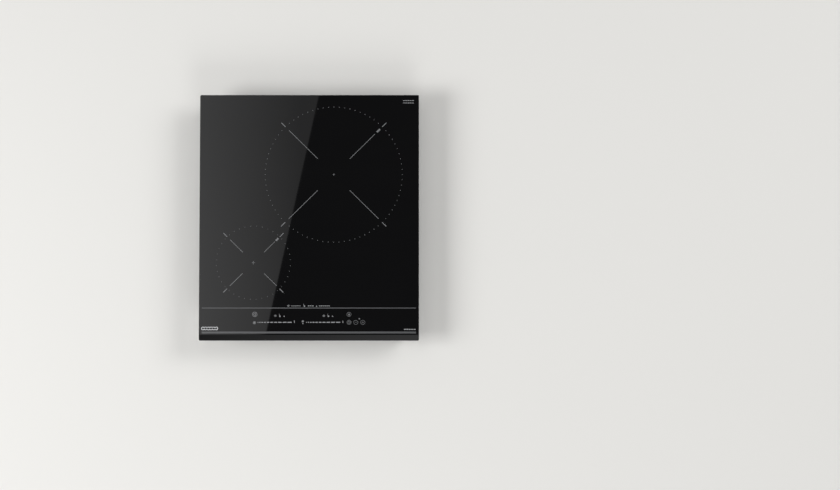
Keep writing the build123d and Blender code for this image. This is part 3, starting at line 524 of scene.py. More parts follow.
# The same glass, ground along its front arris: a pale satin line. Its pale grey is partly the real ground
# finish and partly a painted highlight that stands for the edge's shine.
GROUND_EDGE_AND_HIGHLIGHT = Finish("ground_edge_and_painted_highlight", "black_glass_ceramic", "#5b5c5e", "#6f7072", Pattern.GRAIN, 0.4,
                      roughness=0.42, ior=1.53)
# Ceramic enamel screen-printed on the glass, thinned to dark grey; its raster is drawn at 0.5 mm so that
# it shows. It is glossier than paint and shows the studio's reflection.
DARK_ENAMEL = Finish("dark_ceramic_enamel", "black_glass_ceramic", "#47484a", "#505153", Pattern.GRAIN, 0.5,
                     roughness=0.20, ior=1.7)
# The same enamel, mid grey, for the cooking zones.
GREY_ENAMEL = Finish("grey_ceramic_enamel", "black_glass_ceramic", "#68696b", "#707173", Pattern.GRAIN, 0.5,
                     roughness=0.22, ior=1.6)
# The same enamel, light grey, for keys and legends.
LIGHT_ENAMEL = Finish("light_ceramic_enamel", "black_glass_ceramic", "#868789", "#8f9092", Pattern.GRAIN, 0.5,
                      roughness=0.25, ior=1.6)
# The same enamel, nearly white, for the maker's sign.
PALE_ENAMEL = Finish("pale_ceramic_enamel", "black_glass_ceramic", "#c6c7c9", "#cfd0d2", Pattern.GRAIN, 0.5,
                     roughness=0.25, ior=1.6)
# Closed-cell foam tape, cut from a roll: matt and soft, cells about half a millimetre wide.
SEAL_FOAM = Finish("sealing_foam", "sealing_tape", "#1c1c1d", "#101011", Pattern.FOAM, 0.6, 0.15,
                   roughness=0.85, ior=1.45)
# Cured silicone: smooth and slightly glossy.
SILICONE = Finish("black_silicone", "silicone_adhesive", "#1b1b1c", "#232324", Pattern.GRAIN, 2.0, 0.02,
                  roughness=0.4, ior=1.41)
# Hot-dip galvanised sheet: zinc crystals 7 mm across, each with its own sheen.
GALVANISED = Finish("galvanised_sheet", "galvanised_sheet", "#b1b4b6", "#bdc0c2", Pattern.SPANGLE, 7.0, 0.01,
                    metallic=1.0, roughness=0.30, roughness_swing=0.20)
# Bright zinc plating on screws and nuts: bluish grey, fine pits from the pickling.
ZINC_PLATE = Finish("zinc_plate", "zinc_plated_steel", "#b7bcc2", "#9aa0a8", Pattern.GRAIN, 0.8, 0.01,
                    metallic=1.0, roughness=0.24, roughness_swing=0.14)
# Pressed spring steel with an oiled rolling skin.
PRESSED_STEEL = Finish("pressed_clamp_steel", "clamp_steel", "#8f9295", "#7b7e82", Pattern.ROLLED, 0.7, 0.01,
                       metallic=1.0, roughness=0.34, roughness_swing=0.16)
# Aluminium sheet, mill finish: rolling lines under a millimetre apart.
MILL_ALUMINIUM = Finish("mill_aluminium", "aluminium_sheet", "#c3c5c7", "#aeb0b3", Pattern.ROLLED,
                        0.8, 0.01, metallic=1.0, roughness=0.30, roughness_swing=0.18)
# Extruded aluminium: die lines along the fins.
EXTRUDED = Finish("extruded_aluminium", "extruded_aluminium", "#bdbfc1", "#a5a7aa", Pattern.ROLLED,
                  0.5, 0.015, metallic=1.0, roughness=0.36, roughness_swing=0.14)
# Litz: stranded enamelled copper, twisted; strands are drawn 0.9 mm apart so that they show.
LITZ = Finish("copper_litz", "copper_litz", "#b5652f", "#6e3315", Pattern.STRANDS, 0.9, 0.12,
              metallic=0.85, roughness=0.30, roughness_swing=0.20)
# Enamelled round copper wire: smooth, glossy, reddish brown.
MAGNET_WIRE = Finish("enamelled_wire", "choke_winding", "#a8501f", "#8c3f18", Pattern.GRAIN, 1.5,
                     metallic=0.8, roughness=0.18, coat=0.6)
# Iron-powder ring core with its epoxy coat, in the usual light green.
CORE_COAT = Finish("core_epoxy", "choke_winding", "#5f7a63", "#526b57", Pattern.MOULDED, 0.6, 0.02,
                   roughness=0.42)
# Sintered and ground ferrite: charcoal grey, dull.
FERRITE = Finish("ferrite", "ferrite", "#37383b", "#2b2c2f", Pattern.GRAIN, 0.5, 0.02,
                 roughness=0.55)
# Glass-filled heat-resistant plastic, moulded: near black, fine grain.
CARRIER = Finish("glass_filled_plastic", "carrier_plastic", "#2a2b2d", "#36373a", Pattern.MOULDED, 0.6, 0.04,
                 roughness=0.55)
# Pressed mica sheet: silvery brown flakes two millimetres across.
MICA = Finish("mica_sheet", "mica", "#8d8268", "#bfb595", Pattern.FLAKES, 2.2, 0.01,
              metallic=0.25, roughness=0.35, roughness_swing=0.25, ior=1.58)
# Moulded silicone cap of the heat sensors: chalky white.
SILICONE_CAP = Finish("white_silicone", "silicone_cap", "#d5d3ca", "#c6c4bb", Pattern.MOULDED, 1.0, 0.02,
                      roughness=0.6, ior=1.41)
# Drawn spring wire: dark steel.
SPRING_WIRE = Finish("spring_wire", "spring_steel", "#85878a", "#6d6f73", Pattern.GRAIN, 0.5,
                     metallic=1.0, roughness=0.28, roughness_swing=0.12)
# Fan and duct: black moulded plastic, spark-eroded grain 0.7 mm across.
FAN_PLASTIC = Finish("black_moulded_plastic", "fan_plastic", "#18181a", "#222225", Pattern.MOULDED, 0.7, 0.04,
                     roughness=0.48)
# Motor shell: grey stoving lacquer.
MOTOR_LACQUER = Finish("motor_lacquer", "motor_shell", "#4a4c50", "#55575b", Pattern.GRAIN, 1.2, 0.02,
                       roughness=0.38, coat=0.2)
# Solder-masked laminate: dark green, with tracks 1.6 mm apart showing through the mask.
SOLDER_MASK = Finish("solder_masked_board", "green_board", "#1d5b38", "#113f26", Pattern.TRACKS, 1.6, 0.03,
                     roughness=0.28, roughness_swing=0.12)
# Natural nylon: milky white.
NYLON = Finish("natural_nylon", "white_nylon", "#dcd9cf", "#cfccc1", Pattern.MOULDED, 0.8, 0.02,
               roughness=0.42)
# Black moulding epoxy of power packages: dull, very fine grain.
PACKAGE = Finish("package_epoxy", "package_epoxy", "#1b1b1d", "#252528", Pattern.GRAIN, 0.4, 0.02,
                 roughness=0.58)
# Potted film capacitor case: amber yellow, slightly glossy.
CAPACITOR = Finish("capacitor_case", "capacitor_box", "#c98a1e", "#bb7c14", Pattern.MOULDED, 0.8, 0.02,
                   roughness=0.34)
# Polyester tape round the transformer: yellow film.
TAPE = Finish("polyester_tape", "transformer_tape", "#dcc13c", "#c9ab2a", Pattern.ROLLED, 1.2, 0.02,
              roughness=0.26, coat=0.2)
# Grey ABS of the control carrier.
CONTROL_ABS = Finish("grey_abs", "control_plastic", "#8b8e91", "#7e8184", Pattern.MOULDED, 0.7, 0.03,
                     roughness=0.5)
# Carbon-filled foam behind the keys.
KEY_FOAM = Finish("carbon_foam", "conductive_foam", "#2c2c2e", "#19191b", Pattern.FOAM, 0.8, 0.2,
                  roughness=0.9, ior=1.45)
# Tinted epoxy face of the displays.
DISPLAY_FACE = Finish("display_epoxy", "display_module", "#2a1214", "#341719", Pattern.GRAIN, 1.5,
                      roughness=0.12, coat=0.4)
# Ribbon cable: grey insulation over cores 1.27 mm apart.
RIBBON = Finish("ribbon_insulation", "grey_ribbon", "#8f9399", "#74787e", Pattern.RIBBON, 1.27, 0.2,
                roughness=0.45)
# Glass-braid silicone sleeve: brick red, woven.
SLEEVE = Finish("silicone_sleeve", "silicone_sleeve", "#9a2f22", "#7c2118", Pattern.FOAM, 0.7, 0.08,
                roughness=0.6, ior=1.41)
# Rubber wire insulation: blue-grey, waxy.
INSULATION = Finish("wire_insulation", "wire_insulation", "#39414f", "#313845", Pattern.GRAIN, 1.0, 0.01,
                    roughness=0.45)
# Terminal box and cover: black polyamide, moulded.
TERMINAL = Finish("black_polyamide", "terminal_plastic", "#222224", "#2d2d30", Pattern.MOULDED, 0.7, 0.04,
                  roughness=0.5)
# Terminal block: white polyamide.
TERMINAL_WHITE = Finish("white_polyamide", "terminal_block_plastic", "#d8d7d0", "#cbcac2", Pattern.MOULDED,
                        0.7, 0.02, roughness=0.42)
# Plated brass screws.
BRASS = Finish("plated_brass", "terminal_brass", "#b59a5c", "#a1864a", Pattern.GRAIN, 0.6, 0.01,
               metallic=1.0, roughness=0.26, roughness_swing=0.14)
# Relay case: black PBT, slightly glossier than the other plastics.
RELAY_CASE = Finish("black_pbt", "package_epoxy", "#1a1b1e", "#232428", Pattern.MOULDED, 0.7, 0.02,
                    roughness=0.38)
# Shrink sleeve of an electrolytic capacitor: dark blue film.
CAN_SLEEVE = Finish("shrink_sleeve", "package_epoxy", "#1b2438", "#222c43", Pattern.GRAIN, 1.0, 0.01,
                    roughness=0.30, coat=0.2)
# Tinned copper legs and end caps: soft silver.
TINNED = Finish("tinned_copper", "zinc_plated_steel", "#c9c9c6", "#b4b5b3", Pattern.GRAIN, 0.6, 0.01,
                metallic=1.0, roughness=0.25, roughness_swing=0.12)
# Ceramic tube of the mains fuse: white, matt.
FUSE_CERAMIC = Finish("fuse_ceramic", "white_nylon", "#dfdcd2", "#d2cfc5", Pattern.GRAIN, 0.6, 0.01,
                      roughness=0.5)
# Epoxy coat of the varistor: mid blue, glossy.
VARISTOR = Finish("varistor_epoxy", "package_epoxy", "#2b55a0", "#244a8e", Pattern.MOULDED, 0.8, 0.03,
                  roughness=0.3, coat=0.2)

CAD_FINISHES: dict[Finish, tuple[str, ...]] = {
    SILICONE: ("frame_adhesive",),
    GALVANISED: ("bottom_casing", "support_frame"),
    ZINC_PLATE: ("casing_screws", "clamp_screws", "clamp_nuts", "plate_screws", "fan_shaft"),
    PRESSED_STEEL: ("clamp_front_left", "clamp_front_right", "clamp_rear_left", "clamp_rear_right"),
    MILL_ALUMINIUM: ("coil_plate", "large_coil_shield", "small_coil_shield", "plate_standoffs"),
    EXTRUDED: ("heatsink",),
    FERRITE: ("large_coil_ferrites", "small_coil_ferrites"),
    CARRIER: ("large_coil_carrier", "small_coil_carrier"),
    MICA: ("large_coil_mica", "small_coil_mica"),
    SILICONE_CAP: ("large_coil_sensor", "small_coil_sensor"),
    SPRING_WIRE: ("large_coil_springs", "small_coil_springs", "control_springs"),
    FAN_PLASTIC: ("fan_housing", "fan_lid", "fan_impeller", "air_duct"),
    MOTOR_LACQUER: ("fan_motor",),
    SOLDER_MASK: ("power_board", "filter_board", "control_board"),
    NYLON: ("board_supports", "board_connectors"),
    PACKAGE: ("power_transistors", "bridge_rectifier"),
    CAPACITOR: ("film_capacitors",),
    CONTROL_ABS: ("control_carrier", "control_posts"),
    KEY_FOAM: ("touch_pads",),
    DISPLAY_FACE: ("displays",),
    RIBBON: ("ribbon_cable",),
    SLEEVE: ("coil_leads",),
    INSULATION: ("mains_leads",),
    TERMINAL: ("terminal_box", "terminal_cover", "cable_inlet"),
    TERMINAL_WHITE: ("terminal_block",),
    BRASS: ("terminal_screws",),
}


def dress(piece: Object, *finishes: Finish) -> Object:
    """Puts finishes on a new piece's material slots, in order.

    Args:
        piece: the piece.
        finishes: its finishes, one for each slot in order.

    Returns:
        The same piece.
    """
    for finish in finishes:
        piece.data.materials.append(finish.build())
    return piece


def dress_cad_nodes() -> None:
    """Gives every CAD node that stays in view its finish."""
    for finish, nodes in CAD_FINISHES.items():
        material = finish.build()
        for node in nodes:
            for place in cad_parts[node].material_slots:
                place.material = material
    log.info("dressed %d CAD nodes", sum(len(nodes) for nodes in CAD_FINISHES.values()))


# ---------------------------------------------------------------- glass and prints
@dataclass
class GlassPlate:
    """The glass plate, with a ground bevel along its front, and the foam tape under its rim.

    The enamel stands print_height above the glass, and the enamel's face is the model's top.
    """

    bevel_width: float = 12 * MM
    bevel_drop: float = 2.2 * MM
    ridge: float = 0.5 * MM  # half width of the rounding where the bevel meets the flat
    corner: float = 3 * MM
    arris: float = 0.45 * MM
    front_arris: float = 0.8 * MM
    print_height: float = 0.03 * MM
    corner_steps: int = 10
    arris_steps: int = 5
    ground_lean: float = -0.35  # the front's faces whose normal has a lower Y than this are ground, and carry the painted highlight
    seal_width: float = 6 * MM
    seal_corner: float = 3 * MM
    seal_sides: int = 24
    seal_power: float = 0.35  # 1 makes the tape's section an ellipse, 0 a rectangle
    low: Vector = field(default_factory=lambda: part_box("glass_top")[0])
    high: Vector = field(default_factory=lambda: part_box("glass_top")[1])

    def top_height(self, y: Points) -> Points:
        """Height of the top: flat, then a parabola over the ridge, then a straight slope.

        Args:
            y: places from front to back.

        Returns:
            The height at each place.
        """
        slope = self.bevel_drop / self.bevel_width
        past = (self.low.y + self.bevel_width + self.ridge) - y
        rounded = np.clip(past, 0, 2 * self.ridge) ** 2 / (4 * self.ridge)
        return self.high.z - self.print_height - slope * (rounded + np.clip(past - 2 * self.ridge, 0, None))

    def build(self) -> None:
        """Makes the plate from loops that follow its outline, from the bottom up and over the edge.

        Ring k of an arris is a quarter circle: inset = r * (1 - sin t) below and r * (1 - cos t) above,
        with t from 0 to a right angle. A last ring lies a little further in, on the flat, so that the
        rounding's normals end there and the mirror inside it stays plane.
        """
        half_x, half_y = (self.high.x - self.low.x) / 2, (self.high.y - self.low.y) / 2
        ridge_y = self.low.y + self.bevel_width
        rows = ridge_y + self.ridge * np.array([-3, -1, -0.5, 0, 0.5, 1, 3])

        def loop(inset: float) -> Points:
            """The outline moved inwards by inset, as x and y."""
            radius = self.corner - inset
            return rounded_loop(half_x - inset, half_y - inset, radius, self.corner_steps, rows)

        outline, turn = loop(0), np.linspace(0, pi / 2, self.arris_steps + 1)
        inwards = (loop(self.arris) - outline) / self.arris
        frontness = np.clip((self.low.y + self.corner - outline[:, 1]) / self.corner, 0, 1)
        radius = self.arris + (self.front_arris - self.arris) * frontness
        rings = []
        for step in turn:
            flat = loop(self.arris * (1 - sin(step)))
            height = self.low.z + self.arris * (1 - cos(step))
            rings.append(np.column_stack([flat, np.full(len(flat), height)]))
        for step in turn:
            flat = outline + inwards * (radius * (1 - cos(step)))[:, None]
            rings.append(np.column_stack([flat, self.top_height(flat[:, 1]) - radius * (1 - sin(step))]))
        flat = outline + inwards * (radius + self.arris / 2)[:, None]
        rings.append(np.column_stack([flat, self.top_height(flat[:, 1])]))
        vertices = np.vstack(rings)
        count = len(outline)
        faces = grid_faces(len(rings), count)
        faces.append(list(range(count))[::-1])
        top = (len(rings) - 1) * count
        two_corners = 2 * (self.corner_steps + 1)
        right = [top + i for i in range(len(rows))]
        left = [top + len(rows) + two_corners + i for i in range(len(rows))][::-1]
        for k in range(len(rows) - 1):
            faces.append([left[k], right[k], right[k + 1], left[k + 1]])
        faces.append(list(range(right[-1], left[-1] + 1)))
        faces.append([*range(left[0], top + count), right[0]])
        plate = add_object("glass_plate", vertices, faces, "casing", 60.0)
        # The ground front faces take the second slot, whose pale grey is partly a painted highlight.
        ground = self.grind_front(plate)
        dress(plate, BLACK_GLASS, GROUND_EDGE_AND_HIGHLIGHT)
        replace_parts(plate, "glass_top")
        log.info("glass plate: %d faces, %d of them ground", len(plate.data.polygons), ground)
        self.build_seal()

    def grind_front(self, plate: Object) -> int:
        """Gives the front arris and the front edge below it the ground finish, whose pale grey is partly a
        painted highlight along the edge.

        Args:
            plate: the plate.

        Returns:
            The number of faces that are ground and carry the painted highlight.
        """
        count = len(plate.data.polygons)
        centres, normals = np.empty(count * 3), np.empty(count * 3)
        plate.data.polygons.foreach_get("center", centres)
        plate.data.polygons.foreach_get("normal", normals)
        centres, normals = centres.reshape(-1, 3), normals.reshape(-1, 3)
        ground = (centres[:, 1] < self.low.y + self.corner) & (normals[:, 1] < self.ground_lean)
        plate.data.polygons.foreach_set("material_index", ground.astype(np.int32))
        return int(ground.sum())

    def build_seal(self) -> None:
        """Foam tape: a rectangle with bulging sides, carried round a rounded rectangle.

        The section is (a * sp(cos t), b * sp(sin t)), with sp the signed power seal_power.
        """
        low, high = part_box("rim_seal")
        width, tall = self.seal_width, high.z - low.z
        flat = rounded_loop(high.x - width / 2, high.y - width / 2, self.seal_corner, 8)
        path = np.column_stack([flat, np.full(len(flat), (low.z + high.z) / 2)])
        ahead = np.roll(path, -1, 0) - np.roll(path, 1, 0)
        ahead /= np.linalg.norm(ahead, axis=1, keepdims=True)
        side = np.column_stack([ahead[:, 1], -ahead[:, 0], np.zeros(len(path))])
        up = np.tile([0.0, 0.0, 1.0], (len(path), 1))
        turn = np.linspace(0, 2 * pi, self.seal_sides, endpoint=False)
        round_section = np.column_stack([np.cos(turn), np.sin(turn)])
        squared = np.sign(round_section) * np.abs(round_section) ** self.seal_power
        profile = squared * [width / 2, tall / 2]
        seal = add_object(
            "seal_tape",
            carried_profile(path, side, up, profile),
            grid_faces(len(path), len(profile), loop_rows=True),
            "casing",
            50.0,
        )
        dress(seal, SEAL_FOAM)
        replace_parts(seal, "rim_seal")


@dataclass
class PrintSheet:
    """Flat enamel marks gathered into one mesh: each mark is a plate as thick as the enamel."""

    name: str
    top: float
    thickness: float = 0.05 * MM
    vertices: list = field(default_factory=list)
    faces: list = field(default_factory=list)
    count: int = 0

    def plate(self, outline: Points) -> None:
        """Adds a filled outline: a bottom, a top and a wall between them.

        Args:
            outline: its points, x and y, counter-clockwise.
        """
        n = len(outline)
        for z in (self.top - self.thickness, self.top):
            self.vertices.append(np.column_stack([outline, np.full(n, z)]))
        start = self.count
        self.faces += [[start + j for j in range(n)][::-1], [start + n + j for j in range(n)]]
        for j in range(n):
            k = (j + 1) % n
            self.faces.append([start + j, start + k, start + n + k, start + n + j])
        self.count += 2 * n

    def bar(
        self, x: float, y: float, length: float, width: float, turn: float = 0.0, lean: float = 0.0
    ) -> None:
        """Adds a bar.

        Args:
            x: its middle's place across.
            y: its middle's place from front to back.
            length: its length along X before it is turned.
            width: its width.
            turn: how far it is turned, in degrees.
            lean: how far its ends lean, as a share of its width.
        """
        corners = np.array([[-1, -1], [1, -1], [1, 1], [-1, 1]]) * [length / 2, width / 2]
        corners[:, 0] += lean * corners[:, 1]
        c, s = cos(radians(turn)), sin(radians(turn))
        self.plate(corners @ np.array([[c, s], [-s, c]]) + [x, y])

    def disc(self, x: float, y: float, radius: float, sides: int = 16) -> None:
        """Adds a disc about (x, y)."""
        self.plate(ellipse(radius, radius, sides) + [x, y])

    def arc(
        self, x: float, y: float, radius: float, width: float, start: float = 0.0, sweep: float = 360.0
    ) -> None:
        """Adds a band along a circle: points at radius +- width / 2.

        Args:
            x: the circle's middle across.
            y: its middle from front to back.
            radius: the radius of the band's middle.
            width: the band's width.
            start: where it starts, in degrees from +X.
            sweep: how far it goes round, in degrees; 360 closes it.
        """
        closed = sweep >= 360
        steps = max(8, int(sweep / 12))
        angle = np.radians(start + np.linspace(0, sweep, steps + 1)[: steps if closed else None])
        rim = np.column_stack([np.cos(angle), np.sin(angle)])
        inner, outer = rim * (radius - width / 2) + [x, y], rim * (radius + width / 2) + [x, y]
        if not closed:
            self.plate(np.vstack([outer, inner[::-1]]))
            return
        n = steps
        foot = self.top - self.thickness
        for flat, z in ((inner, foot), (outer, foot), (outer, self.top), (inner, self.top)):
            self.vertices.append(np.column_stack([flat, np.full(n, z)]))
        self.faces += [[self.count + i for i in quad] for quad in grid_faces(4, n, loop_rows=True)]
        self.count += 4 * n

    def build(self, finish: Finish) -> Object:
        """Makes the piece and dresses it."""
        piece = add_object(self.name, np.vstack(self.vertices), self.faces, "casing", 30.0)
        return dress(piece, finish)


@dataclass
class ZoneMarks:
    """The print of one cooking zone: a dotted circle, four diagonal lines and their ticks.

    A line, tick or bar is given by its two distances from the coil's centre.
    """

    name: str
    coil: str
    dot_circle: float
    dots: int
    dot_radius: float
    line: Pair
    tick: Pair
    short_line: float  # where the rear right line ends, short of the bar
    bar: Pair
    cross: float  # length of the centre's cross
    line_width: float = 1.0 * MM
    tick_width: float = 1.6 * MM
    bar_width: float = 3.5 * MM
    dot_phase: float = 0.0  # where the first dot stands, as a share of the spacing
    dot_gap: float = 2.0  # degrees either side of a diagonal that have no dots
    dot_sides: int = 12

    def build(self, top: float) -> None:
        """Makes the marks round the coil's centre; the rear right diagonal carries the thick bar.

        Args:
            top: the height of the enamel's face.
        """
        low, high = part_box(self.coil)
        x, y = (low.x + high.x) / 2, (low.y + high.y) / 2
        sheet = PrintSheet(self.name, top)
        for i in range(self.dots):
            angle = 360.0 * (i + self.dot_phase) / self.dots
            past_diagonal = (angle - 45) % 90
            if past_diagonal < self.dot_gap or past_diagonal > 90 - self.dot_gap:
                continue
            dot_x = x + self.dot_circle * cos(radians(angle))
            dot_y = y + self.dot_circle * sin(radians(angle))
            sheet.disc(dot_x, dot_y, self.dot_radius, self.dot_sides)
        for quarter in range(4):
            angle = 45 + 90 * quarter
            far = self.short_line if quarter == 0 else self.line[1]
            spans = [(self.line[0], far, self.line_width), (*self.tick, self.tick_width)]
            if quarter == 0:
                spans.append((*self.bar, self.bar_width))
            for start, end, width in spans:
                middle = (start + end) / 2
                bar_x, bar_y = x + middle * cos(radians(angle)), y + middle * sin(radians(angle))
                sheet.bar(bar_x, bar_y, end - start, width, angle)
        sheet.bar(x, y, self.cross, self.line_width)
        sheet.bar(x, y, self.line_width, self.cross)
        sheet.build(GREY_ENAMEL)
        log.info("%s: about (%.3f, %.3f)", self.name, x, y)


class KeySign(Enum):
    """What a touch key or a legend shows."""

    POWER = "ring with the mains sign"
    LOCK = "padlock in a ring"
    CLOCK = "clock in a ring"
    MINUS = "minus in a ring"
    PLUS = "plus in a ring"
    POT = "pot with its lid"
    SPOON = "spoon"
    DROP = "melting drop"
    ZONE = "small filled ring"


@dataclass
class ControlPrint:
    """Everything printed across the front: lines, sliders, keys, legends and the maker's sign.

    Places are measured from the glass's centre.
    """

    top: float
    stroke: float = 0.8 * MM
    line_y: float = -187.9 * MM
    band_y: float = -238.4 * MM
    half_line: float = 219.0 * MM
    line_width: float = 1.8 * MM
    band_width: float = 4.0 * MM
    slider_dashes: int = 10
    slider_gap: float = 2.1 * MM
    slider_width: float = 1.9 * MM
    dash_gap: float = 0.9 * MM
    slider_y: float = -217.4 * MM
    sign_y: float = -201.0 * MM
    symbol_y: float = -203.4 * MM
    legend_y: float = -183.2 * MM
    sliders: tuple[Pair, Pair] = ((-105.9 * MM, -34.0 * MM), (-6.7 * MM, 65.0 * MM))
    key_x: Triple = (82.0 * MM, 95.9 * MM, 110.2 * MM)

    def lines(self) -> None:
        """The thin line above the controls and the broad band below them."""
        thin = PrintSheet("front_line_print", self.top)
        thin.bar(0, self.line_y, 2 * self.half_line, self.line_width)
        thin.build(DARK_ENAMEL)
        band = PrintSheet("front_band_print", self.top)
        band.bar(0, self.band_y, 2 * self.half_line, self.band_width)
        band.build(DARK_ENAMEL)

    def slider(self, name: str, left: float, right: float) -> None:
        """A slider: dashes that grow longer to the right, and an end stop like a hook.

        Dash i of n takes a share of the length that grows evenly from 0.5 to 1.5 of the mean.

        Args:
            name: the piece's name.
            left: where its first dash starts.
            right: where its last dash ends.
        """
        sheet = PrintSheet(name, self.top)
        shares = np.linspace(0.5, 1.5, self.slider_dashes)
        edges = left + (right - left) * np.concatenate([[0], np.cumsum(shares)]) / shares.sum()
        for start, end in zip(edges, edges[1:]):
            length = (end - start) - self.slider_gap
            sheet.bar((start + end) / 2, self.slider_y, length, self.slider_width, lean=0.25)
        sheet.bar(right + 4.6 * MM, self.slider_y + 0.9 * MM, 1.2 * MM, 4.6 * MM)
        sheet.bar(right + 3.9 * MM, self.slider_y + 2.9 * MM, 2.0 * MM, 0.9 * MM)
        sheet.build(LIGHT_ENAMEL)

    def sign(self, sheet: PrintSheet, kind: KeySign, x: float, y: float, r: float) -> None:
        """Draws one key sign about (x, y), r in size.

        Args:
            sheet: the sheet that it is printed on.
            kind: what it shows.
            x: its middle's place across.
            y: its middle's place from front to back.
            r: its outer radius.
        """
        w = self.stroke
        match kind:
            case KeySign.POWER:
                sheet.arc(x, y, r, 0.9 * w)
                sheet.arc(x, y, 0.48 * r, w, 125, 290)
                sheet.bar(x, y + 0.36 * r, w, 0.5 * r)
            case KeySign.LOCK:
                sheet.arc(x, y, r, 0.8 * w)
                sheet.bar(x, y - 0.2 * r, 0.8 * r, 0.6 * r)
                sheet.arc(x, y + 0.12 * r, 0.28 * r, 0.7 * w, 0, 180)
            case KeySign.CLOCK:
                sheet.arc(x, y, r, 0.8 * w)
                sheet.arc(x, y, 0.55 * r, 0.7 * w)
                sheet.bar(x, y + 0.16 * r, 0.7 * w, 0.32 * r)
                sheet.bar(x + 0.12 * r, y, 0.24 * r, 0.7 * w)
            case KeySign.MINUS:
                sheet.arc(x, y, r, 0.7 * w)
                sheet.bar(x, y, 0.9 * r, 0.7 * w)
            case KeySign.PLUS:
                sheet.arc(x, y, r, 0.7 * w)
                sheet.bar(x, y, 0.9 * r, 0.7 * w)
                sheet.bar(x, y, 0.7 * w, 0.9 * r)
            case KeySign.POT:
                sheet.arc(x, y - 0.1 * r, 0.8 * r, 0.8 * w, 180, 180)
                sheet.bar(x, y, 2.0 * r, 0.7 * w)
                sheet.bar(x, y + 0.5 * r, 1.3 * r, 0.7 * w)
            case KeySign.SPOON:
                sheet.disc(x + 0.2 * r, y - 0.4 * r, 0.62 * r)
                sheet.bar(x - 0.35 * r, y + 0.5 * r, 0.8 * w, 2.0 * r, 4)
            case KeySign.DROP:
                sheet.disc(x, y - 0.3 * r, 0.5 * r)
                sheet.bar(x, y + 0.2 * r, 0.5 * w, 0.9 * r)
                sheet.bar(x, y - 0.9 * r, 1.9 * r, 0.6 * w)
            case KeySign.ZONE:
                sheet.disc(x, y, 0.55 * r)
                sheet.arc(x, y, r, 0.7 * w)

    def keys(self) -> None:
        """The signs of all touch keys."""
        sheet = PrintSheet("key_signs_print", self.top)
        self.sign(sheet, KeySign.POWER, -110.8 * MM, self.sign_y, 4.7 * MM)
        self.sign(sheet, KeySign.ZONE, -111.4 * MM, self.slider_y - 1.0 * MM, 2.5 * MM)
        self.sign(sheet, KeySign.ZONE, -12.4 * MM, self.slider_y + 2.0 * MM, 1.8 * MM)
        sheet.disc(-12.4 * MM, self.slider_y - 2.6 * MM, 1.1 * MM)
        for middle in (-59.8 * MM, 39.4 * MM):
            self.sign(sheet, KeySign.POT, middle - 8.9 * MM, self.symbol_y, 2.4 * MM)
            self.sign(sheet, KeySign.SPOON, middle, self.symbol_y - 0.4 * MM, 2.6 * MM)
            self.sign(sheet, KeySign.DROP, middle + 9.0 * MM, self.symbol_y - 0.8 * MM, 1.7 * MM)
        sheet.build(LIGHT_ENAMEL)

    def timer_keys(self) -> None:
        """The signs at the right, which are printed darker."""
        sheet = PrintSheet("timer_signs_print", self.top)
        left, middle, right = self.key_x
        self.sign(sheet, KeySign.LOCK, left, self.sign_y, 4.3 * MM)
        self.sign(sheet, KeySign.CLOCK, left, self.slider_y, 4.3 * MM)
        self.sign(sheet, KeySign.MINUS, middle, self.slider_y, 4.3 * MM)
        self.sign(sheet, KeySign.PLUS, right, self.slider_y, 4.3 * MM)
        sheet.disc((middle + right) / 2, self.slider_y + 7.5 * MM, 1.4 * MM)
        sheet.build(GREY_ENAMEL)

    def dashes(
        self, sheet: PrintSheet, start: float, end: float, y: float, count: int, thick: float
    ) -> None:
        """A row of short dashes in place of words.

        Args:
            sheet: the sheet that they are printed on.
            start: the row's left end.
            end: its right end.
            y: its place from front to back.
            count: how many dashes it has.
            thick: how thick they are.
        """
        pitch = (end - start) / count
        for k in range(count):
            sheet.bar(start + pitch * (k + 0.5), y, pitch - self.dash_gap, thick)

    def legend(self) -> None:
        """A row of small signs over the line, with dashes in place of words."""
        sheet = PrintSheet("legend_print", self.top)
        y = self.legend_y
        self.sign(sheet, KeySign.POT, -41.8 * MM, y + 0.4 * MM, 2.2 * MM)
        self.sign(sheet, KeySign.SPOON, -9.8 * MM, y + 0.3 * MM, 2.5 * MM)
        self.sign(sheet, KeySign.DROP, 15.6 * MM, y - 0.3 * MM, 1.9 * MM)
        words = ((-36.6, -16.6, 5, 1.0), (-2.9, 9.8, 3, 1.5), (19.8, 43.2, 6, 1.35))
        for start, end, count, thick in words:
            self.dashes(sheet, start * MM, end * MM, y - 0.3 * MM, count, thick * MM)
        sheet.build(LIGHT_ENAMEL)

    def maker_sign(self) -> None:
        """A plain row of coil loops at the left, and dashes where the real plate has small print."""
        sign = PrintSheet("coil_sign_print", self.top)
        for k in range(6):
            sign.arc((-216.6 + 5.5 * k) * MM, -230.1 * MM, 2.9 * MM, 1.2 * MM)
        sign.build(PALE_ENAMEL)
        small = PrintSheet("small_print", self.top)
        self.dashes(small, 193.8 * MM, 218.4 * MM, -232.0 * MM, 5, 1.9 * MM)
        for y in (243.4, 238.4):
            self.dashes(small, 191.8 * MM, 214.8 * MM, y * MM, 5, 1.3 * MM)
        small.build(LIGHT_ENAMEL)

    def build(self) -> None:
        """Makes every print across the front."""
        self.lines()
        for name, (left, right) in zip(("left_slider_print", "right_slider_print"), self.sliders):
            self.slider(name, left, right)
        self.keys()
        self.timer_keys()
        self.legend()
        self.maker_sign()
        log.info("control print done")


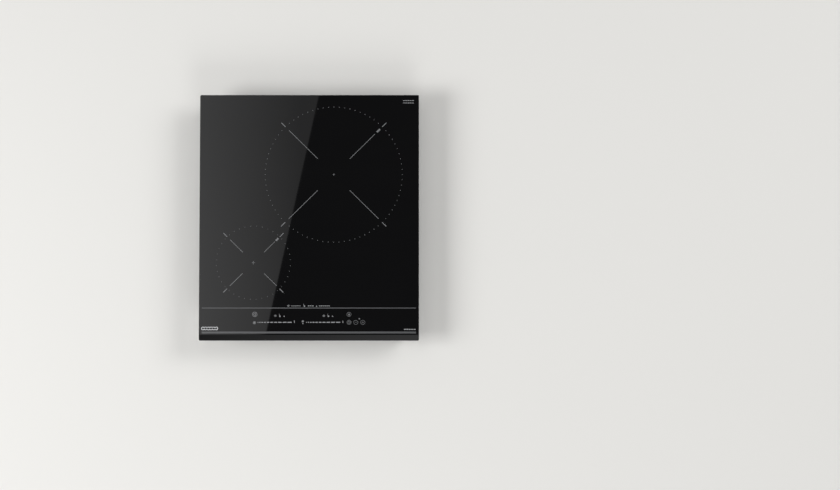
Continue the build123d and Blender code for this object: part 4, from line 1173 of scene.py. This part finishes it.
# ---------------------------------------------------------------- coils and chokes
@dataclass
class Winding:
    """A flat spiral of litz. Its bundle is an ellipse carried along r = inner + pitch * turns.

    A large coil has a gap between an inner and an outer spiral, given by its two radii.
    """

    coil: str
    bore: float
    gap: Pair | None
    bundle: float = 3.4 * MM
    fill: float = 0.49  # the ellipse's half widths, as shares of the pitch and of the bundle
    sides: int = 8
    steps_per_turn: int = 60
    centre: Pair = (0.0, 0.0)

    def spiral(self, name: str, inner: float, outer: float, z: float) -> Object:
        """One spiral between two radii.

        Args:
            name: the piece's name.
            inner: radius of its inner edge.
            outer: radius of its outer edge.
            z: height of its middle.

        Returns:
            The piece, with a UV map of lengths along and round the bundle.
        """
        turns = round((outer - inner) / self.bundle)
        pitch = (outer - inner) / (turns + 1)
        angle = np.linspace(0, 2 * pi * turns, turns * self.steps_per_turn + 1)
        radius = inner + pitch / 2 + pitch * angle / (2 * pi)
        out = np.column_stack([np.cos(angle), np.sin(angle), np.zeros(len(angle))])
        path = out * radius[:, None] + [self.centre[0], self.centre[1], z]
        up = np.tile([0.0, 0.0, 1.0], (len(path), 1))
        profile = ellipse(pitch * self.fill, self.bundle * self.fill, self.sides)
        faces = grid_faces(len(path), self.sides)
        last = (len(path) - 1) * self.sides
        faces += [list(range(self.sides)), [last + j for j in range(self.sides)][::-1]]
        piece = add_object(name, carried_profile(path, out, up, profile), faces, "casing", 80.0)
        self.map_lengths(piece.data, path)
        return dress(piece, LITZ)

    def map_lengths(self, mesh: bpy.types.Mesh, path: Points) -> None:
        """Gives a spiral its UV map: length along the path, and length round the bundle.

        A face that spans the last and the first point of the section takes the far end of the
        bundle's girth for that first point, so that the map doesn't run back across the face.

        Args:
            mesh: the spiral's mesh, whose points are stored section by section.
            path: the spiral's path.
        """
        length = np.concatenate([[0], np.cumsum(np.linalg.norm(np.diff(path, axis=0), axis=1))])
        corners = np.empty(len(mesh.loops), np.int32)
        starts, totals = np.empty(len(mesh.polygons), np.int32), np.empty(len(mesh.polygons), np.int32)
        mesh.loops.foreach_get("vertex_index", corners)
        mesh.polygons.foreach_get("loop_start", starts)
        mesh.polygons.foreach_get("loop_total", totals)
        row, column = corners // self.sides, corners % self.sides
        has_last = np.repeat(np.maximum.reduceat(column, starts) == self.sides - 1, totals)
        has_first = np.repeat(np.minimum.reduceat(column, starts) == 0, totals)
        column = np.where(has_last & has_first & (column == 0), self.sides, column)
        uv = np.column_stack([length[row], column * pi * self.bundle / self.sides])
        mesh.uv_layers.new(name="along").data.foreach_set("uv", uv.ravel())

    def build(self) -> None:
        """Makes the one spiral, or the outer and the inner one."""
        low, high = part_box(self.coil)
        self.centre = ((low.x + high.x) / 2, (low.y + high.y) / 2)
        outer = (high.x - low.x) / 2
        z = (low.z + high.z) / 2
        if not self.gap:
            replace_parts(self.spiral(self.coil + "_spiral", self.bore, outer, z), self.coil)
            return
        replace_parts(self.spiral(self.coil + "_outer_spiral", self.gap[1], outer, z), self.coil)
        self.spiral(self.coil + "_inner_spiral", self.bore, self.gap[0], z)


@dataclass
class RingChoke:
    """A choke: a coated ring core with wire wound round it.

    The wire's middle goes round the core's section, a rounded square, as it goes round the ring:
    distance = ring radius + a * sq(cos t), height = b * sq(sin t), with sq a signed power below 1.
    """

    node: str
    turns: int
    wire: float
    bore: float
    squareness: float = 0.45  # the signed power: 1 is an ellipse, 0 a rectangle
    ring_steps: int = 48
    section_points: int = 24
    steps_per_turn: int = 20
    wire_sides: int = 6

    def build(self) -> None:
        """Makes a core and its wire for each of the CAD node's one or two solids."""
        low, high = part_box(self.node)
        radius = (high.y - low.y) / 2
        tall = high.z - low.z
        places = [low.x + radius] if high.x - low.x < 3 * radius else [low.x + radius, high.x - radius]
        points, faces, core_points, core_faces = [], [], [], []
        for x in places:
            centre = np.array([x, (low.y + high.y) / 2, (low.z + high.z) / 2])
            middle = (radius + self.bore) / 2
            half_a = (radius - self.bore) / 2 - self.wire / 2
            half_b = tall / 2 - self.wire / 2
            core_a, core_b = half_a - self.wire / 2, half_b - self.wire / 2
            self.ring(core_points, core_faces, centre, middle, core_a, core_b)
            self.coil(points, faces, centre, middle, half_a, half_b)
        core = add_object(self.node + "_cores", np.vstack(core_points), core_faces, "casing", 40.0)
        dress(core, CORE_COAT)
        wire = add_object(self.node + "_wire", np.vstack(points), faces, "casing", 80.0)
        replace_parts(dress(wire, MAGNET_WIRE), self.node)
        log.info("%s: %d wire faces, %d core faces", self.node, len(faces), len(core.data.polygons))

    def section(self, turn: Points, half_a: float, half_b: float) -> Points:
        """The rounded square that the wire follows.

        Args:
            turn: angles round the section.
            half_a: half of its width, along the ring's radius.
            half_b: half of its height.

        Returns:
            Its point at each angle.
        """
        power = self.squareness
        c, s = np.cos(turn), np.sin(turn)
        return np.column_stack([
            half_a * np.sign(c) * np.abs(c) ** power, half_b * np.sign(s) * np.abs(s) ** power
        ])

    def ring(
        self, points: list[Points], faces: Faces, centre: Points, middle: float, a: float, b: float
    ) -> None:
        """Adds a closed ring with that section.

        Args:
            points: the mesh's points so far.
            faces: its faces so far.
            centre: the ring's centre.
            middle: radius of the section's middle.
            a: half of the section's width.
            b: half of its height.
        """
        steps, sides = self.ring_steps, self.section_points
        around = np.linspace(0, 2 * pi, steps, endpoint=False)
        out = np.column_stack([np.cos(around), np.sin(around), np.zeros(steps)])
        up = np.tile([0.0, 0.0, 1.0], (steps, 1))
        profile = self.section(np.linspace(0, 2 * pi, sides, endpoint=False), a, b)
        start = sum(len(p) for p in points)
        points.append(carried_profile(centre + out * middle, out, up, profile))
        faces += [[start + i for i in quad] for quad in grid_faces(steps, sides, loop_rows=True)]

    def coil(
        self, points: list[Points], faces: Faces, centre: Points, middle: float, a: float, b: float
    ) -> None:
        """Adds the closed winding: a tube round the path, square to it at each point.

        Args:
            points: the mesh's points so far.
            faces: its faces so far.
            centre: the ring's centre.
            middle: radius of the section's middle.
            a: half of the section's width.
            b: half of its height.
        """
        count = self.turns * self.steps_per_turn
        turn = np.linspace(0, 2 * pi * self.turns, count, endpoint=False)
        around = turn / self.turns
        flat = self.section(turn, a, b)
        out = np.column_stack([np.cos(around), np.sin(around), np.zeros(count)])
        path = centre + out * (middle + flat[:, :1]) + np.column_stack([np.zeros((count, 2)), flat[:, 1:]])
        ahead = np.roll(path, -1, 0) - np.roll(path, 1, 0)
        ahead /= np.linalg.norm(ahead, axis=1, keepdims=True)
        tangent = np.column_stack([-np.sin(around), np.cos(around), np.zeros(count)])
        side = tangent - ahead * np.sum(tangent * ahead, axis=1, keepdims=True)
        side /= np.linalg.norm(side, axis=1, keepdims=True)
        up = np.cross(ahead, side)
        start = sum(len(p) for p in points)
        round_wire = ellipse(self.wire / 2, self.wire / 2, self.wire_sides)
        points.append(carried_profile(path, side, up, round_wire))
        faces += [[start + i for i in quad] for quad in grid_faces(count, self.wire_sides, loop_rows=True)]


# ---------------------------------------------------------------- parts on the boards
@dataclass
class PartSheet:
    """Closed shells gathered into one mesh."""

    vertices: list = field(default_factory=list)
    faces: list = field(default_factory=list)
    count: int = 0

    def stack(self, loops: list[Points]) -> None:
        """Adds a shell through loops of points, with a cap at each end.

        Args:
            loops: the loops, all with the same number of points.
        """
        rows, n = len(loops), len(loops[0])
        own = grid_faces(rows, n) + [list(range(n))[::-1], list(range((rows - 1) * n, rows * n))]
        self.vertices.append(np.vstack(loops))
        self.faces += [[self.count + i for i in face] for face in own]
        self.count += rows * n

    def block(self, x: float, y: float, z: float, size: Triple, corner: float = 0.6 * MM) -> None:
        """Adds a moulded block: its top edge is drawn in by corner over three steps of a quarter circle.

        Args:
            x: its middle across.
            y: its middle from front to back.
            z: its foot.
            size: its width, depth and height.
            corner: the radius of its upright and top edges.
        """
        width, depth, height = size
        turn = np.linspace(0, pi / 2, 4)
        insets = [0.0, *(corner * (1 - np.cos(turn)))]
        heights = [0.0, *(height - corner * (1 - np.sin(turn)))]
        loops = []
        for inset, level in zip(insets, heights):
            flat = rounded_loop(width / 2 - inset, depth / 2 - inset, corner, 3) + [x, y]
            loops.append(np.column_stack([flat, np.full(len(flat), z + level)]))
        self.stack(loops)

    def turned(
        self, x: float, y: float, z: float, radii: list[float], heights: list[float], sides: int = 24
    ) -> None:
        """Adds an upright turned part: a circle for each radius and height.

        Args:
            x: its axis across.
            y: its axis from front to back.
            z: its foot.
            radii: the circles' radii.
            heights: their heights over the foot.
            sides: how many points a circle has.
        """
        circle = ellipse(1.0, 1.0, sides)
        self.stack([
            np.column_stack([circle * radius + [x, y], np.full(sides, z + height)])
            for radius, height in zip(radii, heights)
        ])

    def lying(
        self, x: float, y: float, z: float, radii: list[float], places: list[float], sides: int = 20
    ) -> None:
        """Adds a turned part whose axis is X: a circle for each radius and place.

        Args:
            x: where its places are counted from.
            y: its axis from front to back.
            z: its axis's height.
            radii: the circles' radii.
            places: their places along X.
            sides: how many points a circle has.
        """
        circle = ellipse(1.0, 1.0, sides)
        self.stack([
            np.column_stack([np.full(sides, x + place), y + circle[:, 0] * r, z + circle[:, 1] * r])
            for r, place in zip(radii, places)
        ])

    def leg(
        self, x: float, y: float, z: float, along: Pair, rise: float, reach: float, width: float
    ) -> None:
        """Adds a bent leg: out of the body, down in a slope, and out along the board.

        Args:
            x: its root across.
            y: its root from front to back.
            z: the board's top.
            along: the direction it points in, X and Y.
            rise: how high over the board it leaves the body.
            reach: how far it reaches from its root.
            width: its width.
        """
        ahead = np.array([*along, 0.0])
        side = np.array([-along[1], along[0], 0.0])
        half = 0.09 * MM  # half of the leg's thickness
        foot = 0.1 * MM
        steps = np.array([[-0.2, rise], [0.3, rise], [0.6, foot], [1.0, foot]])  # share of reach, height
        path = np.array([x, y, z]) + steps[:, :1] * reach * ahead + np.outer(steps[:, 1], [0, 0, 1])
        profile = np.array([[-width / 2, -half], [width / 2, -half], [width / 2, half], [-width / 2, half]])
        points = carried_profile(path, np.tile(side, (4, 1)), np.tile([0.0, 0.0, 1.0], (4, 1)), profile)
        self.stack(list(points.reshape(4, 4, 3)))

    def build(self, name: str, finish: Finish) -> Object:
        """Makes the piece and dresses it."""
        return dress(add_object(name, np.vstack(self.vertices), self.faces, "casing", 40.0), finish)


@dataclass
class BoardParts:
    """Relays, capacitors, chips and small parts soldered to the two boards.

    Places on the power board are measured from its front left corner.
    """

    relays: tuple[Pair, ...] = ((145.0 * MM, 223.0 * MM), (119.0 * MM, 225.0 * MM))
    relay_size: Triple = (19.5 * MM, 15.5 * MM, 15.0 * MM)
    relay_foot: float = 2.2 * MM
    relay_step: float = 0.8 * MM  # how much wider and deeper the foot is
    big_cans: tuple[Pair, ...] = ((68.0 * MM, 225.0 * MM), (88.0 * MM, 225.0 * MM))
    big_can_size: Pair = (8.0 * MM, 20.0 * MM)  # radius and height
    small_cans: tuple[Pair, ...] = (
        (53.0 * MM, 36.0 * MM), (66.0 * MM, 36.0 * MM), (53.0 * MM, 50.0 * MM), (66.0 * MM, 50.0 * MM),
        (161.0 * MM, 90.0 * MM), (161.0 * MM, 75.0 * MM),
    )
    small_can_size: Pair = (4.2 * MM, 11.0 * MM)
    controller: Pair = (173.0 * MM, 135.0 * MM)
    drivers: tuple[Pair, ...] = tuple(((73.0 + 18.0 * k) * MM, 153.0 * MM) for k in range(4))
    logic: tuple[Pair, ...] = ((198.0 * MM, 130.0 * MM), (173.0 * MM, 113.0 * MM), (88.0 * MM, 45.0 * MM))
    chip_lift: float = 0.15 * MM  # gap between a chip's body and the board

    def corner(self, board: str) -> Vector:
        """The front left corner of a board's top."""
        low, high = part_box(board)
        return Vector((low.x, low.y, high.z))

    def build_relays(self) -> None:
        """Relays: moulded cases with a parting step round the foot."""
        start = self.corner("power_board")
        sheet = PartSheet()
        width, depth, height = self.relay_size
        foot = (width + self.relay_step, depth + self.relay_step, self.relay_foot)
        case = (width, depth, height - self.relay_foot)
        for x, y in self.relays:
            sheet.block(start.x + x, start.y + y, start.z, foot, 0.5 * MM)
            sheet.block(start.x + x, start.y + y, start.z + self.relay_foot, case, 0.9 * MM)
        sheet.build("power_relays", RELAY_CASE)

    def build_cans(self) -> None:
        """Electrolytic capacitors: a sleeve with a bead near its foot, and a bare top with a vent cross.

        The sleeve's profile is a share of the radius at each share of the height: out over the foot,
        in at the bead, straight up, round the shoulder and down to the bare top.
        """
        start = self.corner("power_board")
        sleeves, tops = PartSheet(), PartSheet()
        shares = [0.96, 1.0, 1.0, 0.93, 0.93, 1.0, 1.0, 0.95, 0.86, 0.82]
        levels = [0.0, 0.03, 0.14, 0.17, 0.19, 0.22, 0.95, 0.99, 1.0, 0.98]
        plate, rib, rib_height = 0.15 * MM, 0.35 * MM, 0.1 * MM
        sizes = [self.big_can_size] * len(self.big_cans) + [self.small_can_size] * len(self.small_cans)
        for (x, y), (radius, height) in zip(self.big_cans + self.small_cans, sizes):
            can_x, can_y = start.x + x, start.y + y
            sleeves.turned(
                can_x, can_y, start.z, [radius * k for k in shares], [height * k for k in levels]
            )
            top = start.z + height * levels[-1]
            tops.turned(can_x, can_y, top, [shares[-1] * radius, 0.8 * radius], [0.0, plate])
            for size in ((rib, 1.1 * radius, rib_height), (1.1 * radius, rib, rib_height)):
                tops.block(can_x, can_y, top + plate, size, 0.04 * MM)
        sleeves.build("electrolytic_sleeves", CAN_SLEEVE)
        tops.build("electrolytic_tops", MILL_ALUMINIUM)

    def build_chips(self) -> None:
        """Chips: a controller with legs on four sides, and smaller ones with legs on two.

        Each kind has a place, a size in millimetres, legs on a side, and whether it has four sides of
        them. The legs take 84% of a side, evenly spaced.
        """
        start = self.corner("power_board")
        bodies, legs = PartSheet(), PartSheet()
        kinds = [(self.controller, (12.0, 12.0, 1.5), 12, True)]
        kinds += [(place, (5.0, 7.6, 1.7), 4, False) for place in self.drivers]
        kinds += [(place, (7.5, 12.4, 2.3), 8, False) for place in self.logic]
        for (x, y), size, count, four_sides in kinds:
            width, depth, height = (value * MM for value in size)
            middle = (start.x + x, start.y + y)
            bodies.block(*middle, start.z + self.chip_lift, (width, depth, height), 0.3 * MM)
            places = (np.arange(count) - (count - 1) / 2) * (depth * 0.84 / (count - 1))
            for along in ((1, 0), (-1, 0), (0, 1), (0, -1))[: 4 if four_sides else 2]:
                for place in places:
                    foot_x = middle[0] + along[0] * width / 2 + along[1] * place
                    foot_y = middle[1] + along[1] * depth / 2 + along[0] * place
                    legs.leg(foot_x, foot_y, start.z, along, height / 2, 1.3 * MM, 0.4 * MM)
        bodies.build("chips", PACKAGE)
        legs.build("chip_legs", TINNED)

    def build_small(self) -> None:
        """Surface-mounted resistors and capacitors: three before each driver, and two rows of seven
        behind the controller, each with two end caps.
        """
        start = self.corner("power_board")
        bodies, ends = PartSheet(), PartSheet()
        pitch = 4.0 * MM
        body_size, cap_size = (1.5 * MM, 1.9 * MM, 0.6 * MM), (1.6 * MM, 0.6 * MM, 0.68 * MM)
        rows = [(x + (k - 1) * pitch, y - 8.0 * MM) for x, y in self.drivers for k in range(3)]
        x, y = self.controller
        rows += [(x + (k - 3) * pitch, y + 13.0 * MM + pitch * j) for k in range(7) for j in range(2)]
        for x, y in rows:
            place = (start.x + x, start.y + y)
            bodies.block(*place, start.z + 0.05 * MM, body_size, 0.08 * MM)
            for side in (-1, 1):
                ends.block(place[0], place[1] + side * 1.25 * MM, start.z, cap_size, 0.08 * MM)
        bodies.build("surface_parts", PACKAGE)
        ends.build("surface_part_ends", TINNED)

    def build_filter(self) -> None:
        """The mains fuse in its clips and the varistor, on the filter board.

        The fuse lies along X; the varistor is a lens: half thickness falls as the square root of
        1 - (r / R) squared.
        """
        start = self.corner("filter_board")
        tube, caps, disc = PartSheet(), PartSheet(), PartSheet()
        x, y, z = start.x + 56.0 * MM, start.y + 8.5 * MM, start.z + 5.0 * MM
        radius, half = 2.5 * MM, 10.0 * MM
        cap_length, chamfer = 4.2 * MM, 0.3 * MM
        clip_size = (3.0 * MM, 5.6 * MM, 3.4 * MM)
        tube.lying(x, y, z, [radius * 0.92] * 2, [-half + 4 * MM, half - 4 * MM])
        for side in (-1, 1):
            outer, inner = side * half, side * (half - cap_length)
            radii = [radius * 0.9, radius, radius, radius * 0.9]
            caps.lying(x, y, z, radii, [outer, outer - side * chamfer, inner + side * chamfer, inner])
            caps.block(x + side * (half - cap_length / 2), y, start.z, clip_size, 0.4 * MM)
        circle = ellipse(1.0, 1.0, 20)
        lens_x, lens_z = x + 27.0 * MM, start.z + 8.0 * MM
        lens_radius, half_thickness, tip = 6.0 * MM, 2.0 * MM, 0.2 * MM
        loops = []
        for turn in np.linspace(-pi / 2, pi / 2, 9):
            flat = circle * max(lens_radius * cos(turn), tip) + [lens_x, lens_z]
            depth = np.full(len(flat), y + half_thickness * sin(turn))
            loops.append(np.column_stack([flat[:, 0], depth, flat[:, 1]]))
        disc.stack(loops)
        for side in (-1, 1):
            caps.block(lens_x + side * 2.5 * MM, y, start.z, (0.7 * MM, 0.7 * MM, 3.6 * MM), 0.2 * MM)
        tube.build("fuse_tube", FUSE_CERAMIC)
        caps.build("fuse_clips", TINNED)
        disc.build("varistor", VARISTOR)

    def build_transformer(self) -> None:
        """The supply transformer: a ferrite core through a taped winding on a bobbin.

        It is as large as its node; the bobbin's foot takes the lowest part of its height.
        """
        low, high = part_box("transformer")
        x, y = (low.x + high.x) / 2, (low.y + high.y) / 2
        width, depth, height = high - low
        foot, core, winding = PartSheet(), PartSheet(), PartSheet()
        foot_height, core_depth = 4.0 * MM, 10.0 * MM
        foot.block(x, y, low.z, (width, depth, foot_height), 0.8 * MM)
        core.block(x, y, low.z + foot_height, (width, core_depth, height - foot_height), 0.7 * MM)
        for end in (-1, 1):
            middle = y + end * (depth / 2 - 3.9 * MM)
            winding.block(x, middle, low.z + foot_height, (17.0 * MM, 5.8 * MM, 13.0 * MM), 1.6 * MM)
        foot.build("transformer_bobbin", CARRIER)
        core.build("transformer_core", FERRITE)
        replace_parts(winding.build("transformer_winding", TAPE), "transformer")

    def build(self) -> None:
        """Makes every small part."""
        self.build_transformer()
        self.build_relays()
        self.build_cans()
        self.build_chips()
        self.build_small()
        self.build_filter()
        log.info("board parts done")


# ---------------------------------------------------------------- camera, lights, floor
@dataclass
class Studio:
    """A plain pale studio, with the camera nearly overhead.

    Two soft cards overhead show in the black glass: one behind, whose slanting right edge ends the
    reflection, and one in front for the bevel.
    """

    tilt: float = 9.0
    distance: float = 11.142
    lens: float = 233.1
    aim_right: float = 0.2271  # the view's middle, from the object's middle
    aim_front: float = 0.0574
    card_height: float = 5.0  # over the glass
    card_front_y: float = 0.5
    card_back_y: float = 1.1
    floor_half: float = 20.0
    floor_gap: float = 0.2 * MM  # under the casing, so that the two faces don't flicker

    def camera(self) -> None:
        """The camera: a long lens, tilted from overhead towards the front."""
        data = bpy.data.cameras.new("camera")
        data.lens = self.lens
        data.sensor_width = 36.0
        data.clip_end = 60.0
        item = bpy.data.objects.new("camera", data)
        middle = (cad_low + cad_high) / 2
        aim = Vector((middle.x + self.aim_right, middle.y - self.aim_front, cad_high.z))
        slope = radians(self.tilt)
        item.location = aim + self.distance * Vector((0, -sin(slope), cos(slope)))
        item.rotation_euler = (slope, 0, 0)
        bpy.context.scene.collection.objects.link(item)
        bpy.context.scene.camera = item

    def floor(self) -> None:
        """A plain pale matt floor."""
        half, z = self.floor_half, cad_low.z - self.floor_gap
        mesh = bpy.data.meshes.new("floor")
        corners = [(-half, -half, z), (half, -half, z), (half, half, z), (-half, half, z)]
        mesh.from_pydata(corners, [], [(0, 1, 2, 3)])
        item = bpy.data.objects.new("floor", mesh)
        bpy.context.scene.collection.objects.link(item)
        material = bpy.data.materials.new("studio_floor")
        material.use_nodes = True
        tree = material.node_tree
        shader = tree.nodes["Principled BSDF"]
        shader.inputs["Base Color"].default_value = linear("#dcdbd8")
        shader.inputs["Roughness"].default_value = 0.9
        shader.inputs["Specular IOR Level"].default_value = 0.2
        mesh.materials.append(material)

    def card(
        self, name: str, corners: list[Pair], dark: Pair, bright: Pair, front_gain: float = 1.0
    ) -> None:
        """An overhead card whose brightness runs straight from one X to another, and a little along Y.

        Args:
            name: its name.
            corners: its corners' X and Y, at the card's height above the glass.
            dark: X and brightness at the dim end.
            bright: X and brightness at the bright end.
            front_gain: brightness at card_front_y against that at card_back_y.
        """
        z = cad_high.z + self.card_height
        mesh = bpy.data.meshes.new(name)
        mesh.from_pydata([(x, y, z) for x, y in corners], [], [tuple(range(len(corners)))])
        item = bpy.data.objects.new(name, mesh)
        bpy.context.scene.collection.objects.link(item)
        material = bpy.data.materials.new(name)
        material.use_nodes = True
        tree = material.node_tree
        tree.nodes.clear()
        place = add_node(tree, "TexCoord").outputs["Object"]
        apart = add_node(tree, "SeparateXYZ", None, {0: place})
        level = add_node(
            tree,
            "MapRange",
            {"From Min": dark[0], "From Max": bright[0], "To Min": dark[1], "To Max": bright[1],
             "clamp": True},
            {"Value": apart.outputs[0]},
        )
        gain = add_node(
            tree,
            "MapRange",
            {"From Min": self.card_back_y, "From Max": self.card_front_y, "To Min": 1.0,
             "To Max": front_gain, "clamp": True},
            {"Value": apart.outputs[1]},
        )
        both = add_node(tree, "Math", {"operation": "MULTIPLY"}, {0: level.outputs[0], 1: gain.outputs[0]})
        glow = add_node(tree, "Emission", None, {"Strength": both.outputs[0]})
        add_node(tree, "OutputMaterial", None, {"Surface": glow.outputs[0]})
        mesh.materials.append(material)
        item.visible_camera = False
        item.visible_shadow = False

    def lamp(self, name: str, place: Triple, size: float, power: float) -> None:
        """A square soft light that points at the object.

        Args:
            name: its name.
            place: where it stands.
            size: its side.
            power: its power in watts.
        """
        data = bpy.data.lights.new(name, "AREA")
        data.shape = "SQUARE"
        data.size = size
        data.energy = power
        item = bpy.data.objects.new(name, data)
        item.location = place
        middle = (cad_low.z + cad_high.z) / 2
        item.rotation_euler = (Vector((0, 0, middle)) - Vector(place)).to_track_quat("-Z", "Y").to_euler()
        item.visible_camera = False
        bpy.context.scene.collection.objects.link(item)

    def world(self) -> None:
        """Pale at the horizon, dark overhead, so that the black glass stays black from above.

        The brightness falls smoothly with the height of the direction, the sine of its elevation.
        """
        world = bpy.data.worlds.new("studio")
        bpy.context.scene.world = world
        world.use_nodes = True
        tree = world.node_tree
        tree.nodes.clear()
        place = add_node(tree, "TexCoord").outputs["Generated"]
        up = add_node(tree, "SeparateXYZ", None, {0: place}).outputs[2]
        level = add_node(
            tree,
            "MapRange",
            {"From Min": 0.25, "From Max": 0.93, "To Min": 0.62, "To Max": 0.05, "clamp": True,
             "interpolation_type": "SMOOTHSTEP"},
            {"Value": up},
        )
        glow = add_node(tree, "Background", {"Color": (1, 1, 1, 1)}, {"Strength": level.outputs[0]})
        add_node(tree, "OutputWorld", None, {"Surface": glow.outputs[0]})

    def build(self) -> None:
        """Sets up camera, floor, lights and world."""
        self.camera()
        self.floor()
        self.card(
            "rear_card",
            [(0.291, 2.889), (-2.6, 2.889), (-2.6, -0.2), (-0.375, -0.2)],
            (-0.128, 0.40),
            (-0.65, 1.38),
            1.17,
        )
        self.card(
            "front_card",
            [(-1.5, -2.4), (1.5, -2.4), (1.5, -0.9), (-1.5, -0.9)],
            (-0.60, 0.10),
            (0.60, 1.0),
        )
        self.lamp("left_lamp", (-3.2, -0.8, 2.6), 1.8, 115.0)
        self.lamp("right_lamp", (3.0, 1.4, 2.8), 2.2, 72.0)
        self.lamp("front_lamp", (0.6, -3.4, 2.2), 1.6, 42.0)
        self.world()
        bpy.context.scene.view_settings.view_transform = "Standard"


def main() -> None:
    """Builds the studio and the looks of every piece."""
    logging.basicConfig(level=logging.INFO, format="%(name)s: %(message)s")
    Studio().build()
    dress_cad_nodes()
    GlassPlate().build()
    top = cad_high.z
    ZoneMarks(
        "large_zone_print",
        "large_coil_winding",
        dot_circle=140.7 * MM,
        dots=80,
        dot_radius=0.7 * MM,
        line=(46.5 * MM, 130.5 * MM),
        tick=(140.5 * MM, 152.5 * MM),
        short_line=119.6 * MM,
        bar=(125.0 * MM, 134.0 * MM),
        cross=4.2 * MM,
    ).build(top)
    ZoneMarks(
        "small_zone_print",
        "small_coil_winding",
        dot_circle=76.0 * MM,
        dots=40,
        dot_radius=0.58 * MM,
        line=(31.0 * MM, 67.5 * MM),
        tick=(76.0 * MM, 87.0 * MM),
        short_line=62.4 * MM,
        bar=(64.6 * MM, 72.0 * MM),
        cross=6.0 * MM,
        dot_phase=0.5,
    ).build(top)
    ControlPrint(top).build()
    Winding("large_coil_winding", bore=24 * MM, gap=(66 * MM, 80 * MM)).build()
    Winding("small_coil_winding", bore=18 * MM, gap=None).build()
    RingChoke("chokes", turns=22, wire=1.4 * MM, bore=8 * MM).build()
    RingChoke("filter_choke", turns=26, wire=1.4 * MM, bore=8 * MM).build()
    BoardParts().build()


if __name__ == "__main__":
    main()
